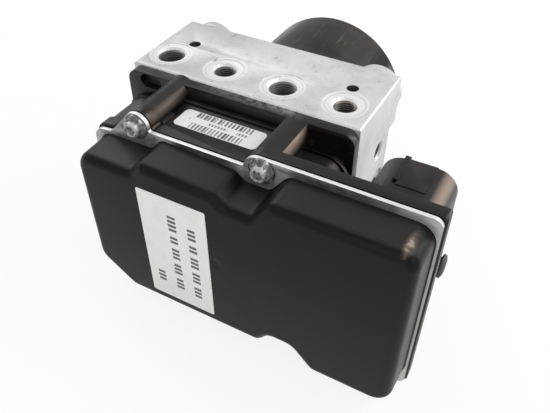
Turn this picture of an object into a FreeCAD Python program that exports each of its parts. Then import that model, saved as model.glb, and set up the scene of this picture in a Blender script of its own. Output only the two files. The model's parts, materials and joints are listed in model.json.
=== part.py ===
import FreeCAD, Part
import math
import os
import re

import Sketcher
from FreeCAD import Placement, Rotation, Vector

# Anti-lock brake module: valve block, pump motor and control unit.
# X runs along the row of outlet ports, Y from the control unit to the motor, Z up.
# The origin is the centre of the block's base. All sizes are in millimetres.

SIZES = [
    # valve block
    ("block_width", 100.4),
    ("block_depth", 42.0),
    ("block_height", 88.8),
    ("block_edge", 0.5),
    ("rear_chamfer_width", 5.0),
    ("rear_chamfer_depth", 6.9),
    ("inlet_boss_radius", 10.6),
    ("inlet_boss_length", 4.0),
    ("port_pitch", 26.4),
    ("port_row_centre", -1.1),
    ("port_row_y", -8.3),
    ("wide_port_radius", 5.45),
    ("narrow_port_radius", 4.45),
    ("wide_collar_radius", 9.1),
    ("narrow_collar_radius", 8.3),
    ("collar_depth", 0.3),
    ("port_depth", 13.0),
    ("port_entry", 0.9),
    ("pipe_seat_radius", 1.6),
    ("ball_radius", 2.5),
    ("ball_x", 36.6),
    ("ball_y", 3.4),
    ("ball_sink", 1.8),
    ("ball_room", 0.3),
    ("mount_thread_radius", 2.5),
    ("mount_thread_depth", 12.0),
    ("side_mount_radius", 3.4),
    ("side_mount_entry", 1.0),
    ("side_mount_y", 3.5),
    ("side_mount_height", 63.2),
    ("base_mount_x", 41.5),
    ("base_mount_y", 4.0),
    # pump and eccentric
    ("axis_height", 43.6),
    ("pump_y", 5.0),
    ("pump_bore_radius", 7.5),
    ("pump_plug_radius", 8.2),
    ("pump_plug_length", 11.0),
    ("pump_plug_sink", 0.8),
    ("pump_sleeve_gap", 5.2),
    ("pump_piston_radius", 4.0),
    ("pump_spring_length", 9.3),
    ("pump_plug_nose", 2.0),
    ("pump_stroke", 1.6),
    ("eccentricity", 0.8),
    ("eccentric_radius", 6.4),
    ("eccentric_width", 10.0),
    ("eccentric_bearing_radius", 9.0),
    ("chamber_radius", 10.6),
    ("running_clearance", 0.03),
    ("seat_clearance", 0.05),
    ("contact_clearance", 0.3),
    # accumulators
    ("accumulator_x", 24.0),
    ("accumulator_radius", 9.0),
    ("accumulator_depth", 24.0),
    ("accumulator_cap_radius", 10.2),
    ("accumulator_cap_height", 4.0),
    ("accumulator_cap_sink", 0.6),
    ("accumulator_piston_height", 7.0),
    ("accumulator_travel", 6.0),
    # valves
    ("valve_pitch", 22.0),
    ("upper_row_gap", 8.7),
    ("lower_row_gap", 1.5),
    ("valve_collar_radius", 6.4),
    ("valve_collar_depth", 8.0),
    ("valve_nose_radius", 4.5),
    ("valve_depth", 14.8),
    ("valve_dome_radius", 4.5),
    ("valve_dome_length", 18.5),
    ("valve_dome_wall", 1.2),
    ("plunger_length", 14.0),
    ("plunger_pin_radius", 1.0),
    ("valve_travel", 0.4),
    ("coil_radius", 9.2),
    ("coil_length", 15.0),
    ("yoke_wall", 1.1),
    ("coil_gap", 2.0),
    ("coil_room", 4.5),
    # motor
    ("motor_radius", 37.0),
    ("motor_length", 51.8),
    ("motor_wall", 1.8),
    ("motor_edge", 3.5),
    ("motor_flange", 2.5),
    ("motor_ear_reach", 42.087),
    ("motor_ear_gap", 1.2),
    ("motor_ear_radius", 5.8),
    ("motor_screw_gap", 1.3),
    ("shaft_radius", 5.0),
    ("shaft_tail_radius", 4.0),
    ("block_bearing_radius", 11.0),
    ("block_bearing_width", 7.0),
    ("can_bearing_radius", 9.5),
    ("can_bearing_width", 6.0),
    ("bearing_cup_wall", 1.8),
    ("magnet_thickness", 4.6),
    ("magnet_length", 26.0),
    ("air_gap", 0.8),
    ("core_length", 20.0),
    ("core_slots", 12.0),
    ("slot_width", 5.0),
    ("slot_depth", 11.0),
    ("end_turn_length", 3.6),
    ("commutator_radius", 11.0),
    ("commutator_length", 13.6),
    ("brush_plate_thickness", 4.0),
    ("brush_plate_bore", 14.0),
    ("brush_width", 7.0),
    ("lead_radius", 3.4),
    ("lead_drop", 21.6),
    # screws
    ("screw_radius", 2.45),
    ("screw_head_radius", 3.1),
    ("screw_head_height", 2.8),
    ("washer_radius", 5.0),
    ("washer_thickness", 1.2),
    ("screw_room", 5.6),
    ("screw_reach", 12.0),
    ("first_screw_x", -25.9),
    ("second_screw_x", 27.5),
    ("upper_screw_drop", 4.8),
    ("left_screw_x", -40.5),
    ("left_screw_height", 7.5),
    ("right_screw_x", 41.8),
    ("right_screw_height", 7.0),
    ("bush_radius", 3.3),
    ("sleeve_radius", 6.1),
    ("upper_sleeve_radius", 5.4),
    # control unit housing
    ("plate_thickness", 4.5),
    ("plate_drop", 0.5),
    ("plate_corner", 5.0),
    ("plate_recess", 3.0),
    ("chamber_left", -47.8),
    ("chamber_right", 48.6),
    ("chamber_bottom", 1.6),
    ("chamber_corner", 8.0),
    ("rim_gap", 1.5),
    ("rim_width", 2.0),
    ("rim_height", 1.0),
    ("gusset_width", 1.6),
    ("gusset_length", 7.0),
    ("housing_wall", 2.2),
    ("gasket_depth", 1.2),
    ("tray_back", 24.0),
    ("tray_thickness", 4.8),
    ("tray_left", -47.8),
    ("tray_right", 91.0),
    ("tray_drop", 0.4),
    ("tray_step_rise", 0.25),
    ("shoulder_drop", 11.0),
    ("tray_corner", 1.4),
    ("label_floor_rise", 4.0),
    ("label_floor_left", -20.4),
    ("web_left", 23.0),
    ("web_right", 31.5),
    ("pin_floor", 2.2),
    ("board_post_radius", 2.4),
    ("board_post_height", 5.7),
    ("board_thickness", 1.6),
    ("board_margin", 4.5),
    ("chip_width", 18.0),
    ("chip_thickness", 1.6),
    ("capacitor_radius", 5.0),
    ("capacitor_height", 8.5),
    # connector
    ("socket_left", 61.4),
    ("socket_right", 88.4),
    ("socket_bottom", 20.0),
    ("socket_drop", 1.6),
    ("socket_corner", 8.0),
    ("socket_length", 19.0),
    ("socket_wall", 2.2),
    ("carrier_ledge", 2.6),
    ("pin_width", 1.0),
    ("pin_pitch", 4.0),
    ("pin_columns", 4.0),
    ("pin_margin", 5.5),
    ("blade_room", 17.0),
    ("pin_reach", 10.0),
    ("blade_width", 5.0),
    ("vent_radius", 4.6),
    ("vent_thickness", 1.8),
    ("vent_stem_radius", 1.6),
    ("vent_boss_radius", 3.3),
    ("vent_boss_length", 1.7),
    ("vent_offset", 14.0),
    # cover
    ("seal_thickness", 0.7),
    ("seal_setback", 0.6),
    ("sheet", 1.5),
    ("flange_setback", 0.7),
    ("flange_drop", 1.4),
    ("flange_corner", 3.3),
    ("dome_depth", 15.5),
    ("dome_taper", 1.2),
    ("dome_edge", 4.0),
    ("dome_foot", 0.7),
    ("dome_left", -45.6),
    ("dome_right", 89.1),
    ("dome_bottom", 7.2),
    ("dome_low_bottom", 3.6),
    ("dome_inset", 3.4),
    ("dome_step_inset", 1.85),
    ("dome_low_inset", 0.8),
    # labels
    ("label_thickness", 0.15),
    ("front_label_left", -16.9),
    ("front_label_width", 30.0),
    ("front_label_bottom", 13.4),
    ("front_label_inset", 5.6),
    ("bar_label_left", -16.8),
    ("bar_label_width", 35.7),
    ("bar_label_offset", 21.6),
    ("bar_label_depth", 11.0),
]
NAMES = {name for name, value in SIZES}

os.makedirs("parts", exist_ok=True)
doc = FreeCAD.newDocument("brake_module")
sheet = doc.addObject("Spreadsheet::Sheet", "Sizes")
for row, (name, value) in enumerate(SIZES, start=1):
    sheet.set(f"A{row}", name)
    sheet.set(f"B{row}", str(value))
    sheet.setAlias(f"B{row}", name)
doc.recompute()


def size(text):
    """Value of a named size, or of a sum made of named sizes."""
    return float(sheet.evalExpression(text))


def linked(text):
    """The same sum, as an object outside the sheet has to write it."""
    return re.sub(r"[a-z_]+", lambda word: "Sizes." + word[0] if word[0] in NAMES else word[0], text)


# Places that several pieces share
FRONT = "-block_depth / 2"
REAR = "block_depth / 2"
TRAY_BACK = "-block_depth / 2 - tray_back"
TRAY_FRONT = "-block_depth / 2 - tray_back - tray_thickness"
FLANGE_BACK = "-block_depth / 2 - tray_back - tray_thickness - seal_thickness"
FLANGE_FRONT = "-block_depth / 2 - tray_back - tray_thickness - seal_thickness - sheet"
UPPER_SCREWS = "block_height - upper_screw_drop"
YOKE_HALF = "coil_radius + yoke_wall"
UPPER_ROW = f"{UPPER_SCREWS} - bush_radius - ({YOKE_HALF}) - upper_row_gap"
LOWER_ROW = f"left_screw_height + sleeve_radius + {YOKE_HALF} + lower_row_gap"
VALVE_ROWS = {"inlet": UPPER_ROW, "outlet": LOWER_ROW}
CHAMBER_TOP = f"{UPPER_ROW} + {YOKE_HALF} + coil_room + housing_wall"
LABEL_FLOOR = f"{CHAMBER_TOP} + label_floor_rise"
PLATE_TOP = "block_height - plate_drop"
TRAY_TOP = "block_height - tray_drop"
SOCKET_TOP = f"{TRAY_TOP} - socket_drop"
DOME_LOW_TOP = "block_height - shoulder_drop - flange_drop - dome_low_inset"
VENT_HEIGHT = f"(socket_bottom + {SOCKET_TOP}) / 2 - 0.6"
VENT_Y = "-block_depth / 2 - vent_offset"
# the ears stay below the inlet bosses and outside the can
EAR_RISE = "block_height - 2 * inlet_boss_radius - motor_ear_radius - motor_ear_gap - axis_height"
EAR_X = f"sqrt(motor_ear_reach ^ 2 - ({EAR_RISE}) ^ 2)"
MOTOR_SCREW_REACH = "block_depth / 2 - pump_y - pump_plug_radius - motor_screw_gap"
BLOCK_TOP = size("block_height")
AXIS_Z = size("axis_height")
HALF_WIDTH = size("block_width / 2")
SIDES = (("left", -1), ("right", 1))
SCREW_PLACES = [
    ("first_screw_x", UPPER_SCREWS),
    ("second_screw_x", UPPER_SCREWS),
    ("left_screw_x", "left_screw_height"),
    ("right_screw_x", "right_screw_height"),
]
EAR_PLACES = [
    (f"-{EAR_X}", f"axis_height + {EAR_RISE}"),
    (EAR_X, f"axis_height - ({EAR_RISE})"),
]
VALVE_COLUMNS = (-1.5, -0.5, 0.5, 1.5)
GASKET_EDGES = (-0.5, 0.6)
nodes = []


# Sketches and features
def new_body(label):
    """Body whose label names the piece."""
    body = doc.addObject("PartDesign::Body", label)
    body.Label = label
    nodes.append(body)
    return body


def sketch_on(body, role, offset="0"):
    """Sketch on one of the body's own planes, moved along its normal."""
    sketch = body.newObject("Sketcher::SketchObject", body.Name + "_sketch")
    plane = next(item for item in body.Origin.OriginFeatures if item.Role == role)
    sketch.AttachmentSupport = [(plane, "")]
    sketch.MapMode = "FlatFace"
    sketch.setExpression("AttachmentOffset.Base.z", linked(offset))
    return sketch


def front_sketch(body, depth_place):
    """Sketch parallel to the block's front face, at the given Y; a pad from it goes forward."""
    return sketch_on(body, "XZ_Plane", f"-({depth_place})")


def bind(sketch, constraint, text):
    """Adds a dimension that follows the named sizes."""
    index = sketch.addConstraint(constraint)
    sketch.setExpression(f"Constraints[{index}]", linked(text))


def add_circle(sketch, across, up, radius):
    """Circle with its centre and radius bound to the named sizes."""
    centre = Vector(size(across), size(up), 0)
    curve = sketch.addGeometry(Part.Circle(centre, Vector(0, 0, 1), size(radius)))
    bind(sketch, Sketcher.Constraint("Radius", curve, size(radius)), radius)
    bind(sketch, Sketcher.Constraint("DistanceX", -1, 1, curve, 3, centre.x), across)
    bind(sketch, Sketcher.Constraint("DistanceY", -1, 1, curve, 3, centre.y), up)


def add_rectangle(sketch, left, right, low, high):
    """Rectangle with its four sides bound to the named sizes."""
    x_low, x_high, y_low, y_high = size(left), size(right), size(low), size(high)
    corners = [(x_low, y_low), (x_high, y_low), (x_high, y_high), (x_low, y_high)]
    first = sketch.GeometryCount
    for start, end in zip(corners, corners[1:] + corners[:1]):
        sketch.addGeometry(Part.LineSegment(Vector(*start, 0), Vector(*end, 0)))
    for side in range(4):
        sketch.addConstraint(Sketcher.Constraint("Coincident", first + side, 2, first + (side + 1) % 4, 1))
    for side in (0, 2):
        sketch.addConstraint(Sketcher.Constraint("Horizontal", first + side))
        sketch.addConstraint(Sketcher.Constraint("Vertical", first + side + 1))
    bind(sketch, Sketcher.Constraint("DistanceX", -1, 1, first, 1, x_low), left)
    bind(sketch, Sketcher.Constraint("DistanceY", -1, 1, first, 1, y_low), low)
    bind(sketch, Sketcher.Constraint("DistanceX", -1, 1, first + 2, 1, x_high), right)
    bind(sketch, Sketcher.Constraint("DistanceY", -1, 1, first + 2, 1, y_high), high)


def rounded(corners):
    """Lines and arcs of an outline given as corners with a rounding radius each."""
    count = len(corners)
    points = [Vector(x, y, 0) for x, y, radius in corners]
    ends = []
    for index, (x, y, radius) in enumerate(corners):
        before = (points[index - 1] - points[index]).normalize()
        after = (points[(index + 1) % count] - points[index]).normalize()
        half = before.getAngle(after) / 2
        reach = radius / math.tan(half)
        middle = (before + after).normalize()
        arc_middle = points[index] + middle * (radius / math.sin(half) - radius)
        ends.append((points[index] + before * reach, arc_middle, points[index] + after * reach, radius))
    curves = []
    for index in range(count):
        start, middle, end, radius = ends[index]
        if radius > 0:
            curves.append(Part.Arc(start, middle, end))
        next_start = ends[(index + 1) % count][0]
        if end.distanceToPoint(next_start) > 0.001:
            curves.append(Part.LineSegment(end, next_start))
    return curves


def add_outline(sketch, corners):
    """Rounded outline in a sketch."""
    for curve in rounded(corners):
        sketch.addGeometry(curve)


def inset(corners, distance):
    """The outline moved inwards by a distance; it runs anticlockwise."""
    count = len(corners)
    moved = []
    for index, (x, y, radius) in enumerate(corners):
        x0, y0 = corners[index - 1][:2]
        x1, y1 = corners[(index + 1) % count][:2]
        first = Vector(x - x0, y - y0, 0).normalize()
        second = Vector(x1 - x, y1 - y, 0).normalize()
        inward = Vector(-first.y, first.x, 0) + Vector(-second.y, second.x, 0)
        scale = distance / (1 + first.dot(second))
        turn = first.cross(second).z
        new_radius = radius - distance if turn > 0 else radius + distance
        moved.append((x + inward.x * scale, y + inward.y * scale, max(new_radius, 0.2)))
    return moved


def box_corners(left, right, low, high, radius):
    """Rectangle with equal rounded corners."""
    return [(left, low, radius), (right, low, radius), (right, high, radius), (left, high, radius)]


def feature(body, kind, sketch, length, reverse=False, taper=None):
    """Pad or pocket from a sketch, with a test that it adds or removes material."""
    before = body.Shape.Volume if body.Tip else 0.0
    item = body.newObject("PartDesign::" + kind, body.Name + "_" + kind.lower())
    item.Profile = sketch
    item.setExpression("Length", linked(length))
    item.Reversed = reverse
    if taper is not None:
        item.setExpression("TaperAngle", linked(taper))
    doc.recompute()
    change = body.Shape.Volume - before
    if kind == "Pad" and change <= 0 or kind == "Pocket" and change >= 0:
        raise RuntimeError(f"{item.Name} changes nothing")
    return item


def pad(body, sketch, length, reverse=False, taper=None):
    """Adds the sketch's area, along its normal unless reversed."""
    return feature(body, "Pad", sketch, length, reverse, taper)


def pocket(body, sketch, length, reverse=False, taper=None):
    """Removes the sketch's area, against its normal unless reversed."""
    return feature(body, "Pocket", sketch, length, reverse, taper)


def groove(body, sketch):
    """Cuts a turned recess about the sketch's vertical construction line."""
    before = body.Shape.Volume
    item = body.newObject("PartDesign::Groove", body.Name + "_groove")
    item.Profile = sketch
    item.ReferenceAxis = (sketch, ["Axis0"])
    item.Angle = 360
    doc.recompute()
    if body.Shape.Volume >= before:
        raise RuntimeError(f"{item.Name} changes nothing")
    return item


def edges_where(body, test):
    """Names of the edges of a body's last feature whose middle passes a test."""
    names = []
    for index, edge in enumerate(body.Shape.Edges, start=1):
        middle = edge.valueAt((edge.FirstParameter + edge.LastParameter) / 2)
        if test(edge, middle):
            names.append(f"Edge{index}")
    return names


def round_edge(edge, radius):
    """Whether an edge is a circle of a named radius."""
    return isinstance(edge.Curve, Part.Circle) and abs(edge.Curve.Radius - size(radius)) < 0.001


def dress(body, kind, width, test):
    """Fillet or chamfer of the edges that pass a test."""
    item = body.newObject("PartDesign::" + kind, body.Name + "_" + kind.lower())
    base = body.Tip if body.Tip != item else item.BaseFeature
    item.Base = (base, edges_where(body, test))
    item.setExpression("Radius" if kind == "Fillet" else "Size", linked(width))
    doc.recompute()
    return item


# Turned pieces
ALONG_Y = Rotation(Vector(1, 0, 0), -90)
TOWARDS_CONTROL = Rotation(Vector(1, 0, 0), 90)
UPRIGHT = Rotation()


def along_x(side):
    """Turns a piece's own axis to point out of the left or the right side."""
    return Rotation(Vector(0, 1, 0), 90 * side)


def turned(label, profile, place, turn, listed=True):
    """Body turned from a half section given as radius and height pairs."""
    body = doc.addObject("PartDesign::Body", label)
    body.Label = label
    if listed:
        nodes.append(body)
    sketch = sketch_on(body, "XZ_Plane")
    corners = profile
    for start, end in zip(corners, corners[1:] + corners[:1]):
        sketch.addGeometry(Part.LineSegment(Vector(*start, 0), Vector(*end, 0)))
    item = body.newObject("PartDesign::Revolution", label + "_turning")
    item.Profile = sketch
    item.ReferenceAxis = (sketch, ["V_Axis"])
    item.Angle = 360
    body.Placement = Placement(Vector(*place), turn)
    doc.recompute()
    return body


def rod(radius, low, high, edge=0.0):
    """Half section of a plain rod with chamfered ends."""
    if edge <= 0:
        return [(0, low), (radius, low), (radius, high), (0, high)]
    return [
        (0, low), (radius - edge, low), (radius, low + edge),
        (radius, high - edge), (radius - edge, high), (0, high),
    ]


def ring(inner, outer, low, high):
    """Half section of a plain ring."""
    return [(inner, low), (outer, low), (outer, high), (inner, high)]


def group(label, shapes):
    """One node that holds several separate solids."""
    return shaped(label, Part.makeCompound([solid for shape in shapes for solid in shape.Solids]))


def shaped(label, shape, placement=None):
    """One node from a shape made directly, placed afterwards."""
    item = doc.addObject("Part::Feature", label)
    item.Label = label
    item.Shape = shape
    if placement:
        item.Placement = placement
    nodes.append(item)
    return item


def outline_face(corners):
    """Flat face inside a rounded outline."""
    return Part.Face(Part.Wire([curve.toShape() for curve in rounded(corners)]))


def cylinder(radius, place, direction, length):
    """Plain cylinder."""
    return Part.makeCylinder(radius, length, Vector(*place), Vector(*direction))


def box(x_range, y_range, z_range):
    """Box between two corners."""
    lengths = [high - low for low, high in (x_range, y_range, z_range)]
    return Part.makeBox(*lengths, Vector(x_range[0], y_range[0], z_range[0]))


def coil_spring(radius, wire, length, turns, place, direction):
    """Helical spring of square wire, bent in eight straight steps a turn."""
    steps = 8 * turns
    rise = (length - wire) / steps
    half = wire / 2
    sections = []
    for step in range(steps + 1):
        angle = 2 * math.pi * step / 8
        out = Vector(math.cos(angle), math.sin(angle), 0)
        up = Vector(0, 0, 1)
        middle = out * radius + up * (half + rise * step)
        corners = [middle + out * across * half + up * along * half
                   for across, along in ((-1, -1), (1, -1), (1, 1), (-1, 1))]
        sections.append(Part.makePolygon(corners + corners[:1]))
    coil = Part.makeLoft(sections, True, True)
    coil.Placement = Placement(Vector(*place), Rotation(Vector(0, 0, 1), Vector(*direction)))
    return coil


# Valve block
def port_profile(sketch, radius, collar, across, high, deep):
    """Half section of a pipe port: collar, entry cone, thread bore and pipe seat."""
    entry = size("port_entry")
    floor = high - size("collar_depth")
    bottom = high - deep
    seat = size("pipe_seat_radius")
    points = [
        (0, high + 1), (collar, high + 1), (collar, floor), (radius + entry, floor), (radius, floor - entry),
        (radius, bottom), (seat, bottom - (radius - seat) * 0.6), (seat, bottom - radius),
        (0, bottom - radius),
    ]
    for start, end in zip(points, points[1:] + points[:1]):
        sketch.addGeometry(Part.LineSegment(
            Vector(across + start[0], start[1], 0), Vector(across + end[0], end[1], 0)))
    axis = sketch.addGeometry(Part.LineSegment(Vector(across, bottom, 0), Vector(across, high, 0)), True)
    return axis


def make_valve_block():
    """Machined block with every bore that its pieces sit in."""
    body = new_body("valve_block")
    base = sketch_on(body, "XY_Plane")
    add_rectangle(base, "-block_width / 2", "block_width / 2", "-block_depth / 2", "block_depth / 2")
    pad(body, base, "block_height")
    dress(body, "Chamfer", "block_edge", lambda edge, middle: middle.z > BLOCK_TOP - 0.1)

    # the rear corners are cut back below the inlet bosses
    wide, deep, rear = size("rear_chamfer_width"), size("rear_chamfer_depth"), size(REAR)
    corners = sketch_on(body, "XY_Plane")
    for side in (-1, 1):
        points = [(HALF_WIDTH - wide, rear), (HALF_WIDTH, rear - deep),
                  (HALF_WIDTH + 1, rear - deep), (HALF_WIDTH + 1, rear + 1), (HALF_WIDTH - wide, rear + 1)]
        for start, end in zip(points, points[1:] + points[:1]):
            corners.addGeometry(Part.LineSegment(
                Vector(side * start[0], start[1], 0), Vector(side * end[0], end[1], 0)))
    pocket(body, corners, "block_height - 2 * inlet_boss_radius", reverse=True)

    bosses = front_sketch(body, REAR)
    for across in ("inlet_boss_radius - block_width / 2", "block_width / 2 - inlet_boss_radius"):
        add_circle(bosses, across, "block_height - inlet_boss_radius", "inlet_boss_radius")
    pad(body, bosses, "inlet_boss_length", reverse=True)

    # two sizes of outlet port take turns along the row
    first = size("port_row_centre - 1.5 * port_pitch")
    kinds = (("wide_port_radius", "wide_collar_radius", 0), ("narrow_port_radius", "narrow_collar_radius", 1))
    for radius, collar, index in kinds:
        sketch = sketch_on(body, "XZ_Plane", "-port_row_y")
        across = first + index * size("port_pitch")
        port_profile(sketch, size(radius), size(collar), across, BLOCK_TOP, size("port_depth"))
        cut = groove(body, sketch)
        pattern = body.newObject("PartDesign::LinearPattern", body.Name + "_row")
        pattern.Originals = [cut]
        pattern.Direction = (sketch, ["H_Axis"])
        pattern.setExpression("Length", linked("2 * port_pitch"))
        pattern.Occurrences = 2
        body.Tip = pattern
        doc.recompute()

    # inlet ports in the bosses
    for side in (-1, 1):
        centre = side * (HALF_WIDTH - size("inlet_boss_radius"))
        sketch = sketch_on(body, "XY_Plane", "block_height - inlet_boss_radius")
        mouth = size(REAR) + size("inlet_boss_length")
        port_profile(sketch, size("wide_port_radius"), size("narrow_collar_radius"), centre, mouth,
                     size("port_depth"))
        groove(body, sketch)

    # stepped bores for the valves
    steps = (("valve_collar_radius + seat_clearance", "valve_collar_depth"),
             ("valve_nose_radius + seat_clearance", "valve_depth"))
    for radius, depth in steps:
        sketch = front_sketch(body, FRONT)
        for row in VALVE_ROWS.values():
            for column in VALVE_COLUMNS:
                add_circle(sketch, f"{column} * valve_pitch", row, radius)
        pocket(body, sketch, depth)

    # bearing seat and eccentric chamber, from the motor side
    for radius, depth in (("block_bearing_radius", "block_bearing_width + 0.5"),
                          ("chamber_radius", "block_depth / 2 - pump_y + eccentric_width / 2 + 2")):
        sketch = front_sketch(body, REAR)
        add_circle(sketch, "0", "axis_height", radius)
        pocket(body, sketch, depth, reverse=True)

    # pump bores with a wider seat for the plug
    for side, sign in ((-1, "-"), (1, "")):
        for radius, depth in (("pump_plug_radius + seat_clearance", "pump_plug_length + pump_plug_sink"),
                              ("pump_bore_radius", "block_width / 2 - chamber_radius / 2")):
            sketch = sketch_on(body, "YZ_Plane", f"{sign}block_width / 2")
            add_circle(sketch, "pump_y", "axis_height", radius)
            pocket(body, sketch, depth, reverse=side < 0)

    # accumulator bores with cap seats, from below
    for radius, depth in (("accumulator_radius", "accumulator_depth"),
                          ("accumulator_cap_radius + seat_clearance",
                           "accumulator_cap_height + accumulator_cap_sink")):
        sketch = sketch_on(body, "XY_Plane")
        for across in ("-accumulator_x", "accumulator_x"):
            add_circle(sketch, across, "pump_y", radius)
        pocket(body, sketch, depth, reverse=True)

    # ball seats on the top and threads for the brackets
    balls = sketch_on(body, "XY_Plane", "block_height")
    for across in ("-ball_x", "ball_x"):
        add_circle(balls, across, "ball_y", "ball_radius")
    pocket(body, balls, "2 * ball_radius + ball_sink + ball_room")
    for side, sign in ((-1, "-"), (1, "")):
        sketch = sketch_on(body, "YZ_Plane", f"{sign}block_width / 2")
        add_circle(sketch, "side_mount_y", "side_mount_height", "side_mount_radius")
        pocket(body, sketch, "mount_thread_depth", reverse=side < 0)
        dress(body, "Chamfer", "side_mount_entry", lambda edge, middle, side=side: (
            abs(middle.x - side * HALF_WIDTH) < 0.01 and round_edge(edge, "side_mount_radius")))
    base_holes = sketch_on(body, "XY_Plane")
    for across in ("-base_mount_x", "base_mount_x"):
        add_circle(base_holes, across, "base_mount_y", "mount_thread_radius")
    pocket(body, base_holes, "mount_thread_depth", reverse=True)

    # screw holes in front and behind, the motor lead's bore and the gasket groove
    front_holes = front_sketch(body, FRONT)
    for across, up in SCREW_PLACES:
        add_circle(front_holes, across, up, "screw_radius + seat_clearance")
    pocket(body, front_holes, "screw_reach + 1")
    rear_holes = front_sketch(body, REAR)
    for across, up in EAR_PLACES:
        add_circle(rear_holes, across, up, "screw_radius + seat_clearance")
    pocket(body, rear_holes, f"{MOTOR_SCREW_REACH} + 0.5", reverse=True)
    lead_bore = front_sketch(body, FRONT)
    add_circle(lead_bore, "0", "axis_height - lead_drop", "lead_radius + seat_clearance")
    pocket(body, lead_bore, "block_depth")
    seal_groove = front_sketch(body, REAR)
    for radius in ("motor_radius - 0.3", "motor_radius - motor_wall + 0.2"):
        add_circle(seal_groove, "0", "axis_height", radius)
    pocket(body, seal_groove, "1", reverse=True)
    return body


def make_block_fittings():
    """Balls, pump plugs and accumulator caps that close the block's drillings."""
    radius = size("ball_radius")
    centre_height = BLOCK_TOP - size("ball_sink") - radius
    group("channel_balls", [
        Part.makeSphere(radius - 0.02, Vector(side * size("ball_x"), size("ball_y"), centre_height))
        for name, side in SIDES])
    plug, sink, length = size("pump_plug_radius"), size("pump_plug_sink"), size("pump_plug_length")
    shapes = []
    for name, side in SIDES:
        face = side * (HALF_WIDTH - sink)
        place = (face, size("pump_y"), AXIS_Z)
        body = cylinder(plug, place, (-side, 0, 0), length)
        socket = cylinder(plug * 0.45, place, (-side, 0, 0), 3.5)
        inner_end = (face - side * length, place[1], AXIS_Z)
        nose = cylinder(size("pump_piston_radius") - 0.3, inner_end, (-side, 0, 0), size("pump_plug_nose"))
        shapes.append(body.cut(socket).fuse(nose).removeSplitter())
    group("pump_plugs", shapes)
    cap, height = size("accumulator_cap_radius"), size("accumulator_cap_height")
    shapes = []
    for name, side in SIDES:
        place = (side * size("accumulator_x"), size("pump_y"), size("accumulator_cap_sink"))
        disc = cylinder(cap, place, (0, 0, 1), height)
        dish = cylinder(cap * 0.6, place, (0, 0, 1), height * 0.5)
        shapes.append(disc.cut(dish))
    group("accumulator_caps", shapes)


# Pump elements and accumulators
def make_pumps():
    """Sleeve, piston and spring of the two pump elements."""
    swept = size("eccentric_bearing_radius + eccentricity + contact_clearance")
    radius = size("pump_piston_radius")
    plug_face = HALF_WIDTH - size("pump_plug_sink + pump_plug_length")
    sleeve_end = plug_face - 0.05
    sleeve_start = swept + size("pump_sleeve_gap")
    piston_end = plug_face - size("pump_plug_nose + pump_spring_length")
    for name, side in SIDES:
        place = (0, size("pump_y"), AXIS_Z)
        turn = along_x(side)
        bore = radius + size("running_clearance")
        turned(f"pump_sleeve_{name}", [
            (bore, sleeve_start), (size("pump_bore_radius - seat_clearance"), sleeve_start),
            (size("pump_bore_radius - seat_clearance"), sleeve_end), (bore, sleeve_end)], place, turn)
        turned(f"pump_piston_{name}", rod(radius, swept, piston_end, 0.5), place, turn)
        shaped(f"pump_spring_{name}", coil_spring(
            radius - 1.0, 0.8, size("pump_spring_length"), 3,
            (side * piston_end, size("pump_y"), AXIS_Z), (side, 0, 0)))


def make_accumulators():
    """Pistons and springs in the two bores from below."""
    radius = size("accumulator_radius - running_clearance")
    height = size("accumulator_piston_height")
    top = size("accumulator_depth") - 0.5
    cap_top = size("accumulator_cap_sink + accumulator_cap_height")
    for name, side in SIDES:
        place = (side * size("accumulator_x"), size("pump_y"), 0)
        wall = 2.0
        turned(f"accumulator_piston_{name}", [
            (0, top - wall), (radius - wall, top - wall), (radius - wall, top - height),
            (radius, top - height), (radius, top - 0.8), (radius - 0.8, top), (0, top)], place, UPRIGHT)
        shaped(f"accumulator_spring_{name}", coil_spring(
            radius - wall - 1.4, 1.2, top - wall - cap_top, 3, (place[0], place[1], cap_top), (0, 0, 1)))


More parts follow.
